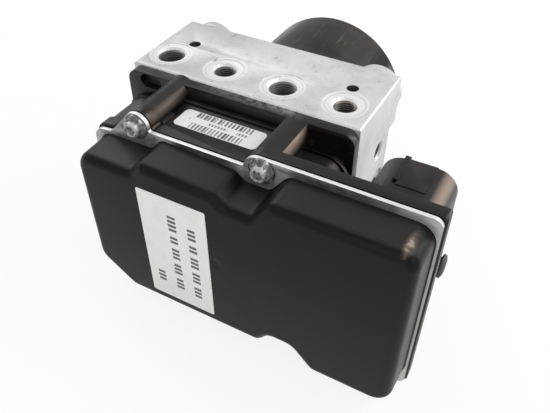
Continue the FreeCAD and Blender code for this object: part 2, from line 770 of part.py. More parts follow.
# Valves
def make_valves():
    """Eight cartridges with domes, their plungers, springs, coils and yokes."""
    face = size(FRONT)
    dome, wall = size("valve_dome_radius"), size("valve_dome_wall")
    bore = dome - wall
    length = size("valve_dome_length")
    collar, nose = size("valve_collar_radius"), size("valve_nose_radius")
    depth, collar_depth = size("valve_depth"), size("valve_collar_depth")
    pin = size("plunger_pin_radius")
    travel = size("valve_travel")
    springs, windings, yokes = [], [], []
    for kind, row in VALVE_ROWS.items():
        for number, column in enumerate(VALVE_COLUMNS, start=1):
            place = (column * size("valve_pitch"), face, size(row))
            shoulder = -3.0
            turned(f"{kind}_valve_{number}", [
                (pin + 0.2, -depth), (nose, -depth), (nose, -collar_depth), (collar, -collar_depth),
                (collar, 0), (dome, 0), (dome, length), (0, length), (0, length - wall),
                (bore, length - wall), (bore, shoulder), (pin + 0.2, shoulder)], place, TOWARDS_CONTROL)
            # the spare travel lies at the end that the plunger moves to
            back = length - wall - 0.1 if kind == "inlet" else length - wall - 0.1 - travel
            low = back - size("plunger_length")
            radius = bore - size("running_clearance")
            turned(f"{kind}_plunger_{number}", [
                (0, -depth + 2.5), (pin, -depth + 2.5), (pin, low), (radius, low), (radius, back), (0, back)],
                place, TOWARDS_CONTROL)
            spring_length = low - shoulder
            springs.append(coil_spring(
                2.2, 0.6, spring_length, 2, (place[0], face - shoulder, place[2]), (0, -1, 0)))
            start = (place[0], face - size("coil_gap"), place[2])
            thin, total = size("yoke_wall"), size("coil_length + 2 * yoke_wall")
            half, front = size(YOKE_HALF) + 0.1, start[1] - total
            frame = box((start[0] - half, start[0] + half), (front, start[1]),
                        (start[2] - half, start[2] + half / 2))
            window = box((start[0] - half, start[0] + half), (front + thin, start[1] - thin),
                         (start[2] - half + thin, start[2] + half))
            yokes.append(frame.cut(window).cut(cylinder(dome + 0.2, start, (0, -1, 0), total)))
            coil = cylinder(size("coil_radius"), (start[0], start[1] - thin, start[2]), (0, -1, 0),
                            size("coil_length"))
            windings.append(coil.cut(cylinder(dome + 0.5, start, (0, -1, 0), total)))
    group("valve_springs", springs)
    group("solenoid_coils", windings)
    group("coil_yokes", yokes)


# Motor
def place_on_axis(y):
    """Point on the motor's axis."""
    return (0, y, AXIS_Z)


def make_motor_can():
    """Deep-drawn can with two fixing ears and a bearing cup in its end wall."""
    body = new_body("motor_can")
    shell = front_sketch(body, REAR)
    add_circle(shell, "0", "axis_height", "motor_radius")
    pad(body, shell, "motor_length", reverse=True)
    end = size(REAR) + size("motor_length")
    dress(body, "Fillet", "motor_edge", lambda edge, middle: middle.y > end - 0.1)
    ears = front_sketch(body, REAR)
    x, up, radius = size(EAR_X), size(EAR_RISE), size("motor_ear_radius")
    for side in (-1, 1):
        angle = math.atan2(-side * up, side * x)
        along = Vector(math.cos(angle), math.sin(angle), 0)
        across = Vector(-along.y, along.x, 0)
        centre = Vector(side * x, AXIS_Z - side * up, 0)
        root = Vector(0, AXIS_Z, 0) + along * (size("motor_radius") * 0.6)
        ears.addGeometry(Part.LineSegment(root + across * radius, root - across * radius))
        ears.addGeometry(Part.LineSegment(root - across * radius, centre - across * radius))
        ears.addGeometry(
            Part.Arc(centre - across * radius, centre + along * radius, centre + across * radius))
        ears.addGeometry(Part.LineSegment(centre + across * radius, root + across * radius))
    pad(body, ears, "motor_flange", reverse=True)
    inside = front_sketch(body, REAR)
    add_circle(inside, "0", "axis_height", "motor_radius - motor_wall")
    pocket(body, inside, "motor_length - motor_wall")
    cup = front_sketch(body, f"{REAR} + motor_length - motor_wall")
    add_circle(cup, "0", "axis_height", "can_bearing_radius + bearing_cup_wall")
    add_circle(cup, "0", "axis_height", "can_bearing_radius + seat_clearance")
    pad(body, cup, "can_bearing_width + 0.5")
    holes = front_sketch(body, REAR)
    for across, up in EAR_PLACES:
        add_circle(holes, across, up, "screw_radius + 0.2")
    pocket(body, holes, "motor_flange")
    return body


def screw_shape(place, direction, head, washer, shank):
    """Screw with a round head on its washer flange and a six-sided recess."""
    axis = Vector(*direction)
    base = Vector(*place)
    body = Part.makeCylinder(size("screw_radius"), shank, base, axis * -1)
    flange = Part.makeCylinder(washer, size("washer_thickness"), base, axis)
    top = base + axis * size("washer_thickness")
    cap = Part.makeCylinder(size("screw_head_radius"), head, top, axis)
    shape = body.fuse([flange, cap]).removeSplitter()
    recess_depth = head * 0.7
    recess_place = top + axis * (head - recess_depth)
    hexagon = Part.makePolygon([
        Vector(math.cos(math.radians(60 * turn)), math.sin(math.radians(60 * turn)), 0)
        * (size("screw_head_radius") * 0.62) for turn in range(7)])
    recess = Part.Face(hexagon).extrude(Vector(0, 0, recess_depth + 1))
    recess.Placement = Placement(recess_place, Rotation(Vector(0, 0, 1), axis))
    return shape.cut(recess)


def make_motor_fixings():
    """Motor screws, the ring that seals the can, and the lead through the block."""
    rear = size(REAR)
    flange = rear + size("motor_flange")
    group("motor_screws", [
        screw_shape((size(across), flange, size(up)), (0, 1, 0), 3.6, size("washer_radius"),
                    size(f"{MOTOR_SCREW_REACH} + motor_flange"))
        for across, up in EAR_PLACES])
    gasket = ring(size("motor_radius - motor_wall + 0.2"), size("motor_radius - 0.3"), -1.0, 0.0)
    turned("motor_gasket", gasket, place_on_axis(rear), ALONG_Y)
    lead = rod(size("lead_radius"), size(FRONT) - 2.0, rear + 0.95, 0.6)
    turned("motor_lead", lead, (0, 0, size("axis_height - lead_drop")), ALONG_Y)


def make_rotor():
    """Shaft with its eccentric, laminated core, windings and commutator."""
    rear = size(REAR)
    pump_y, half = size("pump_y"), size("eccentric_width") / 2
    bearing_start = rear - size("block_bearing_width") - 0.5
    can_floor = rear + size("motor_length - motor_wall")
    tail_start = can_floor - size("can_bearing_width") - 0.5
    shaft, tail = size("shaft_radius"), size("shaft_tail_radius")
    body = turned("motor_shaft", [
        (0, pump_y + half), (shaft + 1.2, pump_y + half), (shaft + 1.2, bearing_start - 0.2),
        (shaft, bearing_start - 0.2), (shaft, tail_start), (tail, tail_start),
        (tail, can_floor - 0.6), (0, can_floor - 0.6)], place_on_axis(0), ALONG_Y)
    eccentric = sketch_on(body, "XY_Plane", "pump_y - eccentric_width / 2")
    add_circle(eccentric, "0", "-eccentricity", "eccentric_radius")
    pad(body, eccentric, "eccentric_width")

    # the laminated core stands behind the commutator
    commutator_start = rear + 1.5
    core_start = commutator_start + size("commutator_length + end_turn_length")
    outer = size("motor_radius - motor_wall - magnet_thickness - air_gap")
    turned("commutator", ring(shaft, size("commutator_radius"), commutator_start,
                              commutator_start + size("commutator_length")), place_on_axis(0), ALONG_Y)
    core = new_body("armature_core")
    disc = sketch_on(core, "XY_Plane")
    add_circle(disc, "0", "0", f"{outer:.4f}")
    add_circle(disc, "0", "0", "shaft_radius")
    pad(core, disc, "core_length")
    slot = sketch_on(core, "XY_Plane")
    wide, deep = size("slot_width"), size("slot_depth")
    points = [(outer - 1.5, -0.9), (outer + 1, -0.9), (outer + 1, 0.9), (outer - 1.5, 0.9),
              (outer - 3.0, wide / 2), (outer - deep, wide * 0.3), (outer - deep, -wide * 0.3),
              (outer - 3.0, -wide / 2)]
    for start, end in zip(points, points[1:] + points[:1]):
        slot.addGeometry(Part.LineSegment(Vector(*start, 0), Vector(*end, 0)))
    cut = pocket(core, slot, "core_length", reverse=True)
    pattern = core.newObject("PartDesign::PolarPattern", "armature_slots")
    pattern.Originals = [cut]
    pattern.Axis = (slot, ["N_Axis"])
    pattern.Angle = 360
    pattern.Occurrences = round(size("core_slots"))
    core.Tip = pattern
    core.Placement = Placement(Vector(0, core_start, AXIS_Z), ALONG_Y)
    doc.recompute()

    # coils fill the slots and turn over at both ends of the core
    turns = size("end_turn_length")
    inner = outer - deep
    coil_points = [(outer - 3.0, wide / 2), (inner, wide * 0.3),
                   (inner, -wide * 0.3), (outer - 3.0, -wide / 2)]
    face = Part.Face(Part.makePolygon([Vector(*point, 0) for point in coil_points + coil_points[:1]]))
    bar = face.extrude(Vector(0, 0, size("core_length")))
    bars = []
    for index in range(round(size("core_slots"))):
        piece = bar.copy()
        piece.rotate(Vector(0, 0, 0), Vector(0, 0, 1), index * 360 / size("core_slots"))
        bars.append(piece)
    rings = []
    for low in (-turns, size("core_length")):
        whole = Part.makeCylinder(outer - 2.6, turns, Vector(0, 0, low))
        rings.append(whole.cut(Part.makeCylinder(inner - 0.4, turns, Vector(0, 0, low))))
    copper = rings[0].fuse(rings[1:] + bars).removeSplitter()
    shaped("armature_windings", copper, Placement(Vector(0, core_start, AXIS_Z), ALONG_Y))
    return core_start


def bearing_group(label, inner, outer, width, place, turn):
    """Sealed bearing: inner ring, outer ring and the shield between them."""
    ring_wall = (outer - inner) * 0.3
    shield = width - 0.6
    shapes = []
    for low, high, length in ((inner, inner + ring_wall, width), (outer - ring_wall, outer, width),
                              (inner + ring_wall + 0.05, outer - ring_wall - 0.05, shield)):
        solid = Part.makeCylinder(high, length).cut(Part.makeCylinder(low, length))
        solid.translate(Vector(0, 0, (width - length) / 2))
        shapes.append(solid)
    item = group(label, shapes)
    item.Placement = Placement(Vector(*place), turn)
    return item


def make_bearings():
    """Shaft bearings in the block and the can, and the needle ring on the eccentric."""
    rear = size(REAR)
    gap = size("running_clearance")
    start = rear - size("block_bearing_width") - 0.3
    bearing_group("block_bearing", size("shaft_radius") + gap, size("block_bearing_radius") - gap,
                  size("block_bearing_width"), place_on_axis(start), ALONG_Y)
    can_floor = rear + size("motor_length - motor_wall")
    bearing_group("can_bearing", size("shaft_tail_radius") + gap, size("can_bearing_radius"),
                  size("can_bearing_width"), place_on_axis(can_floor - size("can_bearing_width") - 0.3),
                  ALONG_Y)
    low = size("pump_y - eccentric_width / 2 + 0.5")
    bearing_ring = ring(size("eccentric_radius + seat_clearance"), size("eccentric_bearing_radius"), low,
                        low + size("eccentric_width") - 1.0)
    turned("eccentric_bearing", bearing_ring, (0, 0, AXIS_Z + size("eccentricity")), ALONG_Y)


def make_stator(core_start):
    """Four magnets, the brush plate and its two brushes."""
    rear = size(REAR)
    outer = size("motor_radius - motor_wall") - 0.02
    inner = outer - size("magnet_thickness")
    start = core_start - 3
    shapes = []
    for index in range(4):
        sector = Part.makeCylinder(outer, size("magnet_length"), Vector(0, 0, 0), Vector(0, 0, 1), 74)
        shape = sector.cut(Part.makeCylinder(inner, size("magnet_length")))
        shape.rotate(Vector(0, 0, 0), Vector(0, 0, 1), 90 * index + 8)
        shapes.append(shape)
    magnets = group("motor_magnets", shapes)
    magnets.Placement = Placement(Vector(0, start, AXIS_Z), ALONG_Y)

    plate = size("brush_plate_thickness")
    low = rear + 1.0
    disc = Part.makeCylinder(outer - 0.3, plate, Vector(0, low, AXIS_Z), Vector(0, 1, 0))
    hole = Part.makeCylinder(size("brush_plate_bore"), plate, Vector(0, low, AXIS_Z), Vector(0, 1, 0))
    base = disc.cut(hole)
    width = size("brush_width")
    brush_start = size("commutator_radius + contact_clearance")
    top = low + plate
    holders, brushes = [], []
    for side in (-1, 1):
        near, far = brush_start + 3.0, outer - 8
        x_range = sorted((side * near, side * far))
        holder = box(x_range, (top, top + width + 2), (AXIS_Z - width / 2 - 1.2, AXIS_Z + width / 2 + 1.2))
        tunnel = box((x_range[0] - 1, x_range[1] + 1), (top, top + width - 2),
                     (AXIS_Z - width / 2 - 0.05, AXIS_Z + width / 2 + 0.05))
        holders.append(holder.cut(tunnel))
        carbon = sorted((side * brush_start, side * (far - 2)))
        brushes.append(box(carbon, (top, top + width - 2.05), (AXIS_Z - width / 2, AXIS_Z + width / 2)))
    shaped("brush_plate", base.fuse(holders).removeSplitter())
    group("motor_brushes", brushes)


# Control unit outlines, as corners with a rounding radius each, anticlockwise from the lower left
def tray_corners(flange=False):
    """Edge of the tray, or of the cover's flange, with a round ear at the first upper screw."""
    left, right, top = size("tray_left"), size("tray_right"), size(TRAY_TOP)
    step = size(f"{LABEL_FLOOR} + tray_step_rise")
    shoulder = size("block_height - shoulder_drop")
    first, second, radius = size("first_screw_x"), size("second_screw_x"), size("upper_sleeve_radius")
    corner = size("flange_corner" if flange else "tray_corner")
    if flange:
        right -= size("flange_setback")
        shoulder -= size("flange_drop")

    # a straight edge rises from the shoulder and touches the ear's circle
    foot, rise = (first - radius * 2.43, shoulder + radius * 0.15), size(UPPER_SCREWS)
    across, up = first - foot[0], rise - foot[1]
    slope = math.atan2(up, across) + math.asin(radius / math.hypot(across, up))
    ear = rise + radius
    ear_left = foot[0] + (ear - foot[1]) / math.tan(slope)
    return [
        (left, 0, radius * 0.65), (right, 0, corner), (right, top, corner),
        (second - radius * 1.37, top, radius), (second - radius * 1.37, step, radius * 0.18),
        (first + radius, step, radius * 0.18), (first + radius, ear, radius * 0.99),
        (ear_left, ear, radius * 0.99), (*foot, radius * 0.74), (left, shoulder, radius * 0.93),
    ]


def dome_corners():
    """Foot of the cover's dome, drawn in round the four screws by shares of the room they need."""
    left, right = size("dome_left"), size("dome_right")
    bottom, low_bottom = size("dome_bottom"), size("dome_low_bottom")
    top, step = size(f"{TRAY_TOP} - dome_inset"), size(f"{LABEL_FLOOR} + tray_step_rise - dome_step_inset")
    low_top = size(DOME_LOW_TOP)
    first, second = size("first_screw_x"), size("second_screw_x")
    notch, part = size("right_screw_x"), size("screw_room")
    notch_top = size("right_screw_height") + part * 1.125
    return [
        (left, bottom + part * 2.23, part * 1.43), (left + part * 2.9, bottom, part * 1.43),
        (notch - part * 1.54, bottom, part * 0.71), (notch - part * 0.64, notch_top, part * 0.89),
        (notch + part * 0.93, notch_top, part * 0.89), (notch + part * 2.5, low_bottom, part * 1.07),
        (right, low_bottom, part * 1.43), (right, top, part * 1.25),
        (second + part * 1.84, top, part * 0.95), (second + part * 0.63, low_top + part * 0.07, part * 0.75),
        (second - part * 1.19, low_top + part * 0.07, part * 0.58),
        (second - part * 1.94, step - part * 0.28, part * 0.7),
        (first + part * 1.98, step, part * 0.7), (first + part * 1.12, low_top, part * 0.7),
        (left, low_top, part * 1.36),
    ]


def socket_corners():
    """Outline of the connector shroud."""
    return box_corners(size("socket_left"), size("socket_right"), size("socket_bottom"), size(SOCKET_TOP),
                       size("socket_corner"))


def chamber_corners():
    """Outline of the coil chamber."""
    return box_corners(size("chamber_left"), size("chamber_right"), size("chamber_bottom"), size(CHAMBER_TOP),
                       size("chamber_corner"))


def carrier_corners(clearance):
    """Outline of the pin carrier in the connector's floor, drawn in by a clearance."""
    side, end = size("socket_wall + carrier_ledge"), size("socket_wall + carrier_ledge") + 1
    opening = box_corners(size("socket_left") + side, size("socket_right") - side,
                          size("socket_bottom") + end, size(SOCKET_TOP) - end, 1.5)
    return inset(opening, clearance) if clearance else opening


def make_housing():
    """One moulding: back plate, coil chamber, tray, screw sleeves and connector shroud."""
    body = new_body("ecu_housing")
    wall = size("housing_wall")
    plate = front_sketch(body, FRONT)
    add_outline(plate, box_corners(-HALF_WIDTH, HALF_WIDTH, 0, size(PLATE_TOP), size("plate_corner")))
    pad(body, plate, "plate_thickness")
    chamber = front_sketch(body, FRONT)
    add_outline(chamber, chamber_corners())
    pad(body, chamber, "tray_back")
    tray = front_sketch(body, TRAY_BACK)
    add_outline(tray, tray_corners())
    pad(body, tray, "tray_thickness")
    inside_roof = f"{CHAMBER_TOP} - chamber_corner"
    platform = front_sketch(body, FRONT)
    add_rectangle(platform, "label_floor_left", "web_left + 1", inside_roof, LABEL_FLOOR)
    pad(body, platform, "tray_back + 0.1")
    web = front_sketch(body, FRONT)
    add_rectangle(web, "web_left", "web_right", inside_roof, PLATE_TOP)
    pad(body, web, "tray_back + 0.1")
    sleeve = front_sketch(body, FRONT)
    add_circle(sleeve, "first_screw_x", UPPER_SCREWS, "upper_sleeve_radius")
    pad(body, sleeve, "tray_back + 0.1")

    # raised rim over the chamber's roof and the platform, close to the back plate
    rim = front_sketch(body, f"{FRONT} - plate_thickness - rim_gap")
    add_outline(rim, inset(chamber_corners(), -size("rim_height")))
    pad(body, rim, "rim_width")
    label_rim = front_sketch(body, f"{FRONT} - plate_thickness - rim_gap")
    add_rectangle(label_rim, "first_screw_x + 1", "web_left + 1", inside_roof,
                  f"{LABEL_FLOOR} + rim_height")
    pad(body, label_rim, "rim_width")
    gusset = front_sketch(body, f"{TRAY_BACK} + gusset_length")
    add_rectangle(gusset, "first_screw_x + 1", "label_floor_left + gusset_width", inside_roof,
                  f"{LABEL_FLOOR} + rim_height")
    pad(body, gusset, "gusset_length + 0.1")
    shroud = front_sketch(body, TRAY_BACK)
    add_outline(shroud, socket_corners())
    pad(body, shroud, "socket_length", reverse=True)

    # hollow of the coil chamber, open towards the block, and the bulge under the label
    hollow = front_sketch(body, FRONT)
    add_outline(hollow, inset(chamber_corners(), wall))
    pocket(body, hollow, "tray_back", reverse=True)
    bulge = front_sketch(body, f"{FRONT} - plate_thickness")
    add_rectangle(bulge, "label_floor_left + housing_wall", "web_left - 0.5", f"{inside_roof} - 2",
                  f"{LABEL_FLOOR} - housing_wall")
    pocket(body, bulge, "tray_back - plate_thickness", reverse=True)

    # sleeves round the lower screws and ribs that hold the coils inside the chamber
    lower = front_sketch(body, FRONT)
    add_circle(lower, "left_screw_x", "left_screw_height", "sleeve_radius - 0.4")
    add_circle(lower, "right_screw_x", "right_screw_height", "sleeve_radius - 0.4")
    pad(body, lower, "tray_back + 0.1")
    ribs = front_sketch(body, f"{FRONT} - coil_gap - coil_length - 2 * yoke_wall")
    for row in VALVE_ROWS.values():
        for edge in (-6, 4):
            low, high = f"{row} + {edge}", f"{row} + {edge + 2}"
            add_rectangle(ribs, "chamber_left + 1", "chamber_right - 1", low, high)
    pad(body, ribs, "tray_back - coil_gap - coil_length - 2 * yoke_wall")

    # recess of the tray behind the board, with posts for the board
    recess = front_sketch(body, TRAY_FRONT)
    add_outline(recess, inset(dome_corners(), size("sheet") + 0.6))
    pocket(body, recess, "tray_thickness - housing_wall")
    posts = front_sketch(body, f"{TRAY_BACK} - housing_wall")
    for across, up in board_posts():
        add_circle(posts, str(across), str(up), "board_post_radius")
    pad(body, posts, "board_post_height")

    # connector: socket, opening for the pins, key rib and latch window
    socket = front_sketch(body, f"{TRAY_BACK} + socket_length")
    add_outline(socket, inset(socket_corners(), size("socket_wall")))
    pocket(body, socket, "socket_length - pin_floor", reverse=True)
    opening = front_sketch(body, TRAY_FRONT)
    add_outline(opening, carrier_corners(0))
    pocket(body, opening, "tray_thickness + pin_floor + 0.1")
    rib = front_sketch(body, f"{TRAY_BACK} + socket_length + 0.6")
    add_rectangle(rib, "socket_left + socket_corner - 0.6", "socket_left + socket_corner + 1.4",
                  f"{SOCKET_TOP} - 1", f"{SOCKET_TOP} + 0.9")
    pad(body, rib, "socket_length - 5.5")
    raised = front_sketch(body, f"{TRAY_BACK} + socket_length")
    add_rectangle(raised, "socket_left + socket_corner + 1", "socket_right - socket_corner + 0.1",
                  f"{SOCKET_TOP} - 1", f"{SOCKET_TOP} + 0.35")
    pad(body, raised, "socket_length - 4.4")
    window = sketch_on(body, "XY_Plane", f"{SOCKET_TOP} + 0.1")
    add_rectangle(window, "socket_left + socket_corner - 0.4", "socket_left + socket_corner + 1",
                  f"{TRAY_BACK} + 5.2", f"{TRAY_BACK} + 6.6")
    pocket(body, window, "socket_wall - 0.6")

    # vent boss with its bore through the shroud's wall
    boss = sketch_on(body, "YZ_Plane", "socket_right - 0.1")
    add_circle(boss, VENT_Y, VENT_HEIGHT, "vent_boss_radius")
    pad(body, boss, "vent_boss_length + 0.1")
    bore = sketch_on(body, "YZ_Plane", "socket_right + vent_boss_length")
    add_circle(bore, VENT_Y, VENT_HEIGHT, "vent_stem_radius + seat_clearance")
    pocket(body, bore, "vent_boss_length + socket_wall + 0.5")

    # blind recesses in the back plate above the chamber, one each side
    recesses = front_sketch(body, f"{FRONT} - plate_thickness")
    slot_height, slot_radius = BLOCK_TOP - 4.0, 3.0
    slot_left = -HALF_WIDTH + 9.2
    add_outline(recesses, box_corners(slot_left - slot_radius, slot_left + 7, slot_height - slot_radius,
                                      slot_height + slot_radius, slot_radius - 0.01))
    add_outline(recesses, box_corners(size("web_right"), HALF_WIDTH - 2.4, size(CHAMBER_TOP),
                                      BLOCK_TOP - 2.6, 2.8))
    pocket(body, recesses, "plate_recess")

    # bores for the screw bushes, and the gasket groove round the chamber
    bushes = front_sketch(body, FRONT)
    for across, up in SCREW_PLACES:
        add_circle(bushes, across, up, "bush_radius + seat_clearance")
    pocket(body, bushes, "tray_back + tray_thickness", reverse=True)
    seal = front_sketch(body, FRONT)
    for distance in GASKET_EDGES:
        add_outline(seal, inset(chamber_corners(), distance))
    pocket(body, seal, "gasket_depth", reverse=True)
    return body


def board_edges():
    """Left, right, lower and upper edge of the circuit board, inside the dome."""
    margin = size("board_margin")
    return (size("dome_left") + margin, size("dome_right") - margin, size("dome_bottom") + 2.4 * margin,
            size(DOME_LOW_TOP) - 0.78 * margin)


def board_posts():
    """Places of the four board posts, beside the chamber's middle and short of the connector."""
    edge, _, low, high = board_edges()
    inset_by = size("board_post_radius") * 2.2
    left, right = edge + inset_by, size("socket_left") - inset_by
    return [(left, low + 2.2 * inset_by), (left, high - inset_by),
            (right, low + inset_by), (right, high - inset_by)]


def make_housing_fittings():
    """Gasket, bushes, cover seal, pin carrier, pins and vent plug."""
    face = size(FRONT)
    outer, inner = (outline_face(inset(chamber_corners(), distance)) for distance in GASKET_EDGES)
    shaped("housing_gasket", outer.cut(inner).extrude(Vector(0, 0, size("gasket_depth"))),
           Placement(Vector(0, face, 0), TOWARDS_CONTROL))

    back = size(FLANGE_BACK)
    shapes = []
    for across, up in SCREW_PLACES:
        place = (size(across), face, size(up))
        tube = cylinder(size("bush_radius"), place, (0, -1, 0), face - back)
        shapes.append(tube.cut(cylinder(size("screw_radius") + 0.15, place, (0, -1, 0), face - back)))
    group("screw_bushes", shapes)

    outside = outline_face(inset(tray_corners(flange=True), size("seal_setback")))
    ring_face = outside.cut(outline_face(inset(dome_corners(), size("sheet"))))
    strip = ring_face.extrude(Vector(0, 0, size("seal_thickness")))
    strip.Placement = Placement(Vector(0, size(TRAY_FRONT), 0), TOWARDS_CONTROL)
    holes = [cylinder(size("bush_radius") + 0.05, (size(across), face, size(up)), (0, -1, 0), face - back)
             for across, up in SCREW_PLACES]
    shaped("cover_seal", strip.cut(holes))

    floor = size(f"{TRAY_BACK} + pin_floor")
    inside = size(f"{TRAY_BACK} - housing_wall")
    corners = carrier_corners(size("seat_clearance"))
    left, low = corners[0][:2]
    right, high = corners[2][:2]
    carrier = outline_face(corners).extrude(Vector(0, 0, floor - inside))
    carrier.Placement = Placement(Vector(0, floor, 0), TOWARDS_CONTROL)
    middle_x = (left + right) / 2
    half = size("pin_width") / 2
    columns, pitch = round(size("pin_columns")), size("pin_pitch")
    rows = int((high - low - size("pin_margin + blade_room")) / pitch) + 1
    board_back = size(f"{TRAY_BACK} - housing_wall - board_post_height")
    tip = floor + size("pin_reach")
    pins = []
    for column in range(columns):
        for number in range(rows):
            x = middle_x + (column - (columns - 1) / 2) * pitch
            z = high - size("pin_margin") - number * pitch
            pins.append(box((x - half, x + half), (board_back, tip), (z - half, z + half)))
    blade = size("blade_width") / 2
    for side in (-1, 1):
        x = middle_x + side * (blade + 1)
        for z in (low + 3.0, low + 8.0):
            pins.append(box((x - blade, x + blade), (board_back, tip), (z - 0.4, z + 0.4)))
    shaped("pin_carrier", carrier.cut(pins))
    group("connector_pins", pins)

    stem, stem_length = size("vent_stem_radius"), size("vent_boss_length + socket_wall")
    disc = size("vent_radius")
    thick = size("vent_thickness")
    turned("vent_plug", [
        (0, -stem_length), (stem, -stem_length), (stem, 0), (disc - 0.4, 0),
        (disc, 0.5), (disc - 0.3, thick * 0.7), (disc * 0.6, thick), (0, thick)],
        (size("socket_right + vent_boss_length"), size(VENT_Y), size(VENT_HEIGHT)), along_x(1))


def make_board():
    """Circuit board and its tallest parts, inside the cover."""
    back = size(f"{TRAY_BACK} - housing_wall - board_post_height")
    front = back - size("board_thickness")
    left, right, low, high = board_edges()
    shaped("circuit_board", outline_face(box_corners(left, right, low, high, 2.0)).extrude(
        Vector(0, 0, back - front)), Placement(Vector(0, back, 0), TOWARDS_CONTROL))
    wide, tall = right - left, high - low
    chip, thin = size("chip_width"), size("chip_thickness")
    # each part: its place across and up the board, its width and its thickness, as shares
    layout = [(0.366, 0.524, 1.0, 1.0), (0.548, 0.434, 0.67, 1.0), (0.128, 0.56, 0.56, 0.9),
              (0.54, 0.778, 0.56, 0.75), (0.691, 0.723, 0.67, 3.8)]
    parts = []
    for across, up, width, thickness in layout:
        x, z, half = left + across * wide, low + up * tall, width * chip / 2
        parts.append(box((x - half, x + half), (front - thickness * thin, front), (z - half, z + half)))
    for across, up in ((0.691, 0.217), (0.786, 0.217), (0.881, 0.18)):
        place = (left + across * wide, front, low + up * tall)
        parts.append(cylinder(size("capacitor_radius"), place, (0, -1, 0), size("capacitor_height")))
    group("board_parts", parts)


def on_foot(edge, middle, outer):
    """Whether an edge runs round the dome on the flange's front, inside the flange's own edge."""
    if any(abs(corner.Point.y - size(FLANGE_FRONT)) > 0.01 for corner in edge.Vertexes):
        return False
    rim = Part.Wire([curve.toShape() for curve in rounded(outer)])
    return rim.distToShape(Part.Vertex(middle.x, middle.z, 0))[0] > 0.2


def make_cover():
    """Deep-drawn cover: flat flange, tapered dome and an even sheet."""
    body = new_body("ecu_cover")
    flange = front_sketch(body, FLANGE_BACK)
    add_outline(flange, tray_corners(flange=True))
    pad(body, flange, "sheet")
    dome = front_sketch(body, FLANGE_FRONT)
    add_outline(dome, dome_corners())
    pad(body, dome, "dome_depth", taper="-dome_taper")
    front = size(FLANGE_FRONT) - size("dome_depth")
    dress(body, "Fillet", "dome_edge", lambda edge, middle: middle.y < front + 0.1)
    outer = tray_corners(flange=True)
    dress(body, "Fillet", "dome_foot", lambda edge, middle: on_foot(edge, middle, outer))
    inside = front_sketch(body, FLANGE_BACK)
    add_outline(inside, inset(dome_corners(), size("sheet")))
    pocket(body, inside, "dome_depth", reverse=True, taper="-dome_taper")
    holes = front_sketch(body, FLANGE_FRONT)
    for across, up in SCREW_PLACES:
        add_circle(holes, across, up, "screw_radius + 0.3")
    pocket(body, holes, "sheet")
    return body


def make_cover_screws():
    """Four screws through the cover, the bushes and into the block."""
    face = size(FLANGE_FRONT)
    shank = size(FRONT) - face + size("screw_reach")
    head, washer = size("screw_head_height"), size("washer_radius")
    group("cover_screws", [
        screw_shape((size(across), face, size(up)), (0, -1, 0), head, washer, shank)
        for across, up in SCREW_PLACES])


def make_labels():
    """Thin printed labels on the cover and on the housing's platform."""
    thin = size("label_thickness")
    front = size(FLANGE_FRONT) - size("dome_depth")
    left, low = size("front_label_left"), size("front_label_bottom")
    high = size(f"{DOME_LOW_TOP} - front_label_inset")
    face_corners = box_corners(left, left + size("front_label_width"), low, high, 0.8)
    shaped("front_label", outline_face(face_corners).extrude(Vector(0, 0, thin)),
           Placement(Vector(0, front, 0), TOWARDS_CONTROL))
    left, near = size("bar_label_left"), size("-block_depth / 2 - bar_label_offset")
    flat = box_corners(left, left + size("bar_label_width"), near, near + size("bar_label_depth"), 2.0)
    shaped("bar_label", outline_face(flat).extrude(Vector(0, 0, thin)),
           Placement(Vector(0, 0, size(LABEL_FLOOR)), UPRIGHT))


make_valve_block()
make_block_fittings()
make_pumps()
make_accumulators()
make_valves()
make_motor_can()
make_motor_fixings()
core_start = make_rotor()
make_bearings()
make_stator(core_start)
make_housing()
make_housing_fittings()
make_board()
make_cover()
make_cover_screws()
make_labels()
doc.recompute()

# Every object is checked before anything is written
for item in doc.Objects:
    if "Invalid" in item.State or "Error" in item.State:
        raise RuntimeError(f"{item.Label} did not build")
for item in nodes:
    if item.Shape.isNull() or not item.Shape.isValid() or not item.Shape.Solids:
        raise RuntimeError(f"{item.Label} is not a valid solid")
for item in nodes:
    item.Shape.exportStep(f"parts/{item.Label}.step")
print(len(nodes), "nodes written")
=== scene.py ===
import json
import logging
import math
from dataclasses import dataclass
from enum import Enum
from typing import Callable, Sequence

import bpy
from mathutils import Euler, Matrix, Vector

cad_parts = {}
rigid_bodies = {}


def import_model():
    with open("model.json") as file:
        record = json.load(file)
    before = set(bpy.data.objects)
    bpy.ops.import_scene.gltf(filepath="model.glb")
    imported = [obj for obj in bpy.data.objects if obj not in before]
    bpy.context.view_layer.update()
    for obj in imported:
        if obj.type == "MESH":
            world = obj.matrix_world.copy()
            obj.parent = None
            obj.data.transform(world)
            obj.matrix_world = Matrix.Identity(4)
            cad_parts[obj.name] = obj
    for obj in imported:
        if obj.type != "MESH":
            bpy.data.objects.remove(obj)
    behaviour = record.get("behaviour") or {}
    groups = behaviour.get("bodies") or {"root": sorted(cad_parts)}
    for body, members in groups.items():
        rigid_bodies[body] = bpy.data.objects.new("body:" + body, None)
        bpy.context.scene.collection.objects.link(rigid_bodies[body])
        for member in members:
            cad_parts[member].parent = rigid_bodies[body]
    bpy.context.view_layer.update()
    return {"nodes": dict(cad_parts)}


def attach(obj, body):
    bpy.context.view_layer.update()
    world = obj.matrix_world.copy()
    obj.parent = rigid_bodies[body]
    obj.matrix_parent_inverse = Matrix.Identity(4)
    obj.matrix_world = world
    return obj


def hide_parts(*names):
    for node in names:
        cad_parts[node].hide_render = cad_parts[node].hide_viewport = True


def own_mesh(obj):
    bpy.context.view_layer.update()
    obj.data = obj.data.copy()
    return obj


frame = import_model()
LOG = logging.getLogger("brake_module")
Colour = tuple[float, float, float]
Place = tuple[float, float, float]
Pair = tuple[float, float]
MM = 0.001

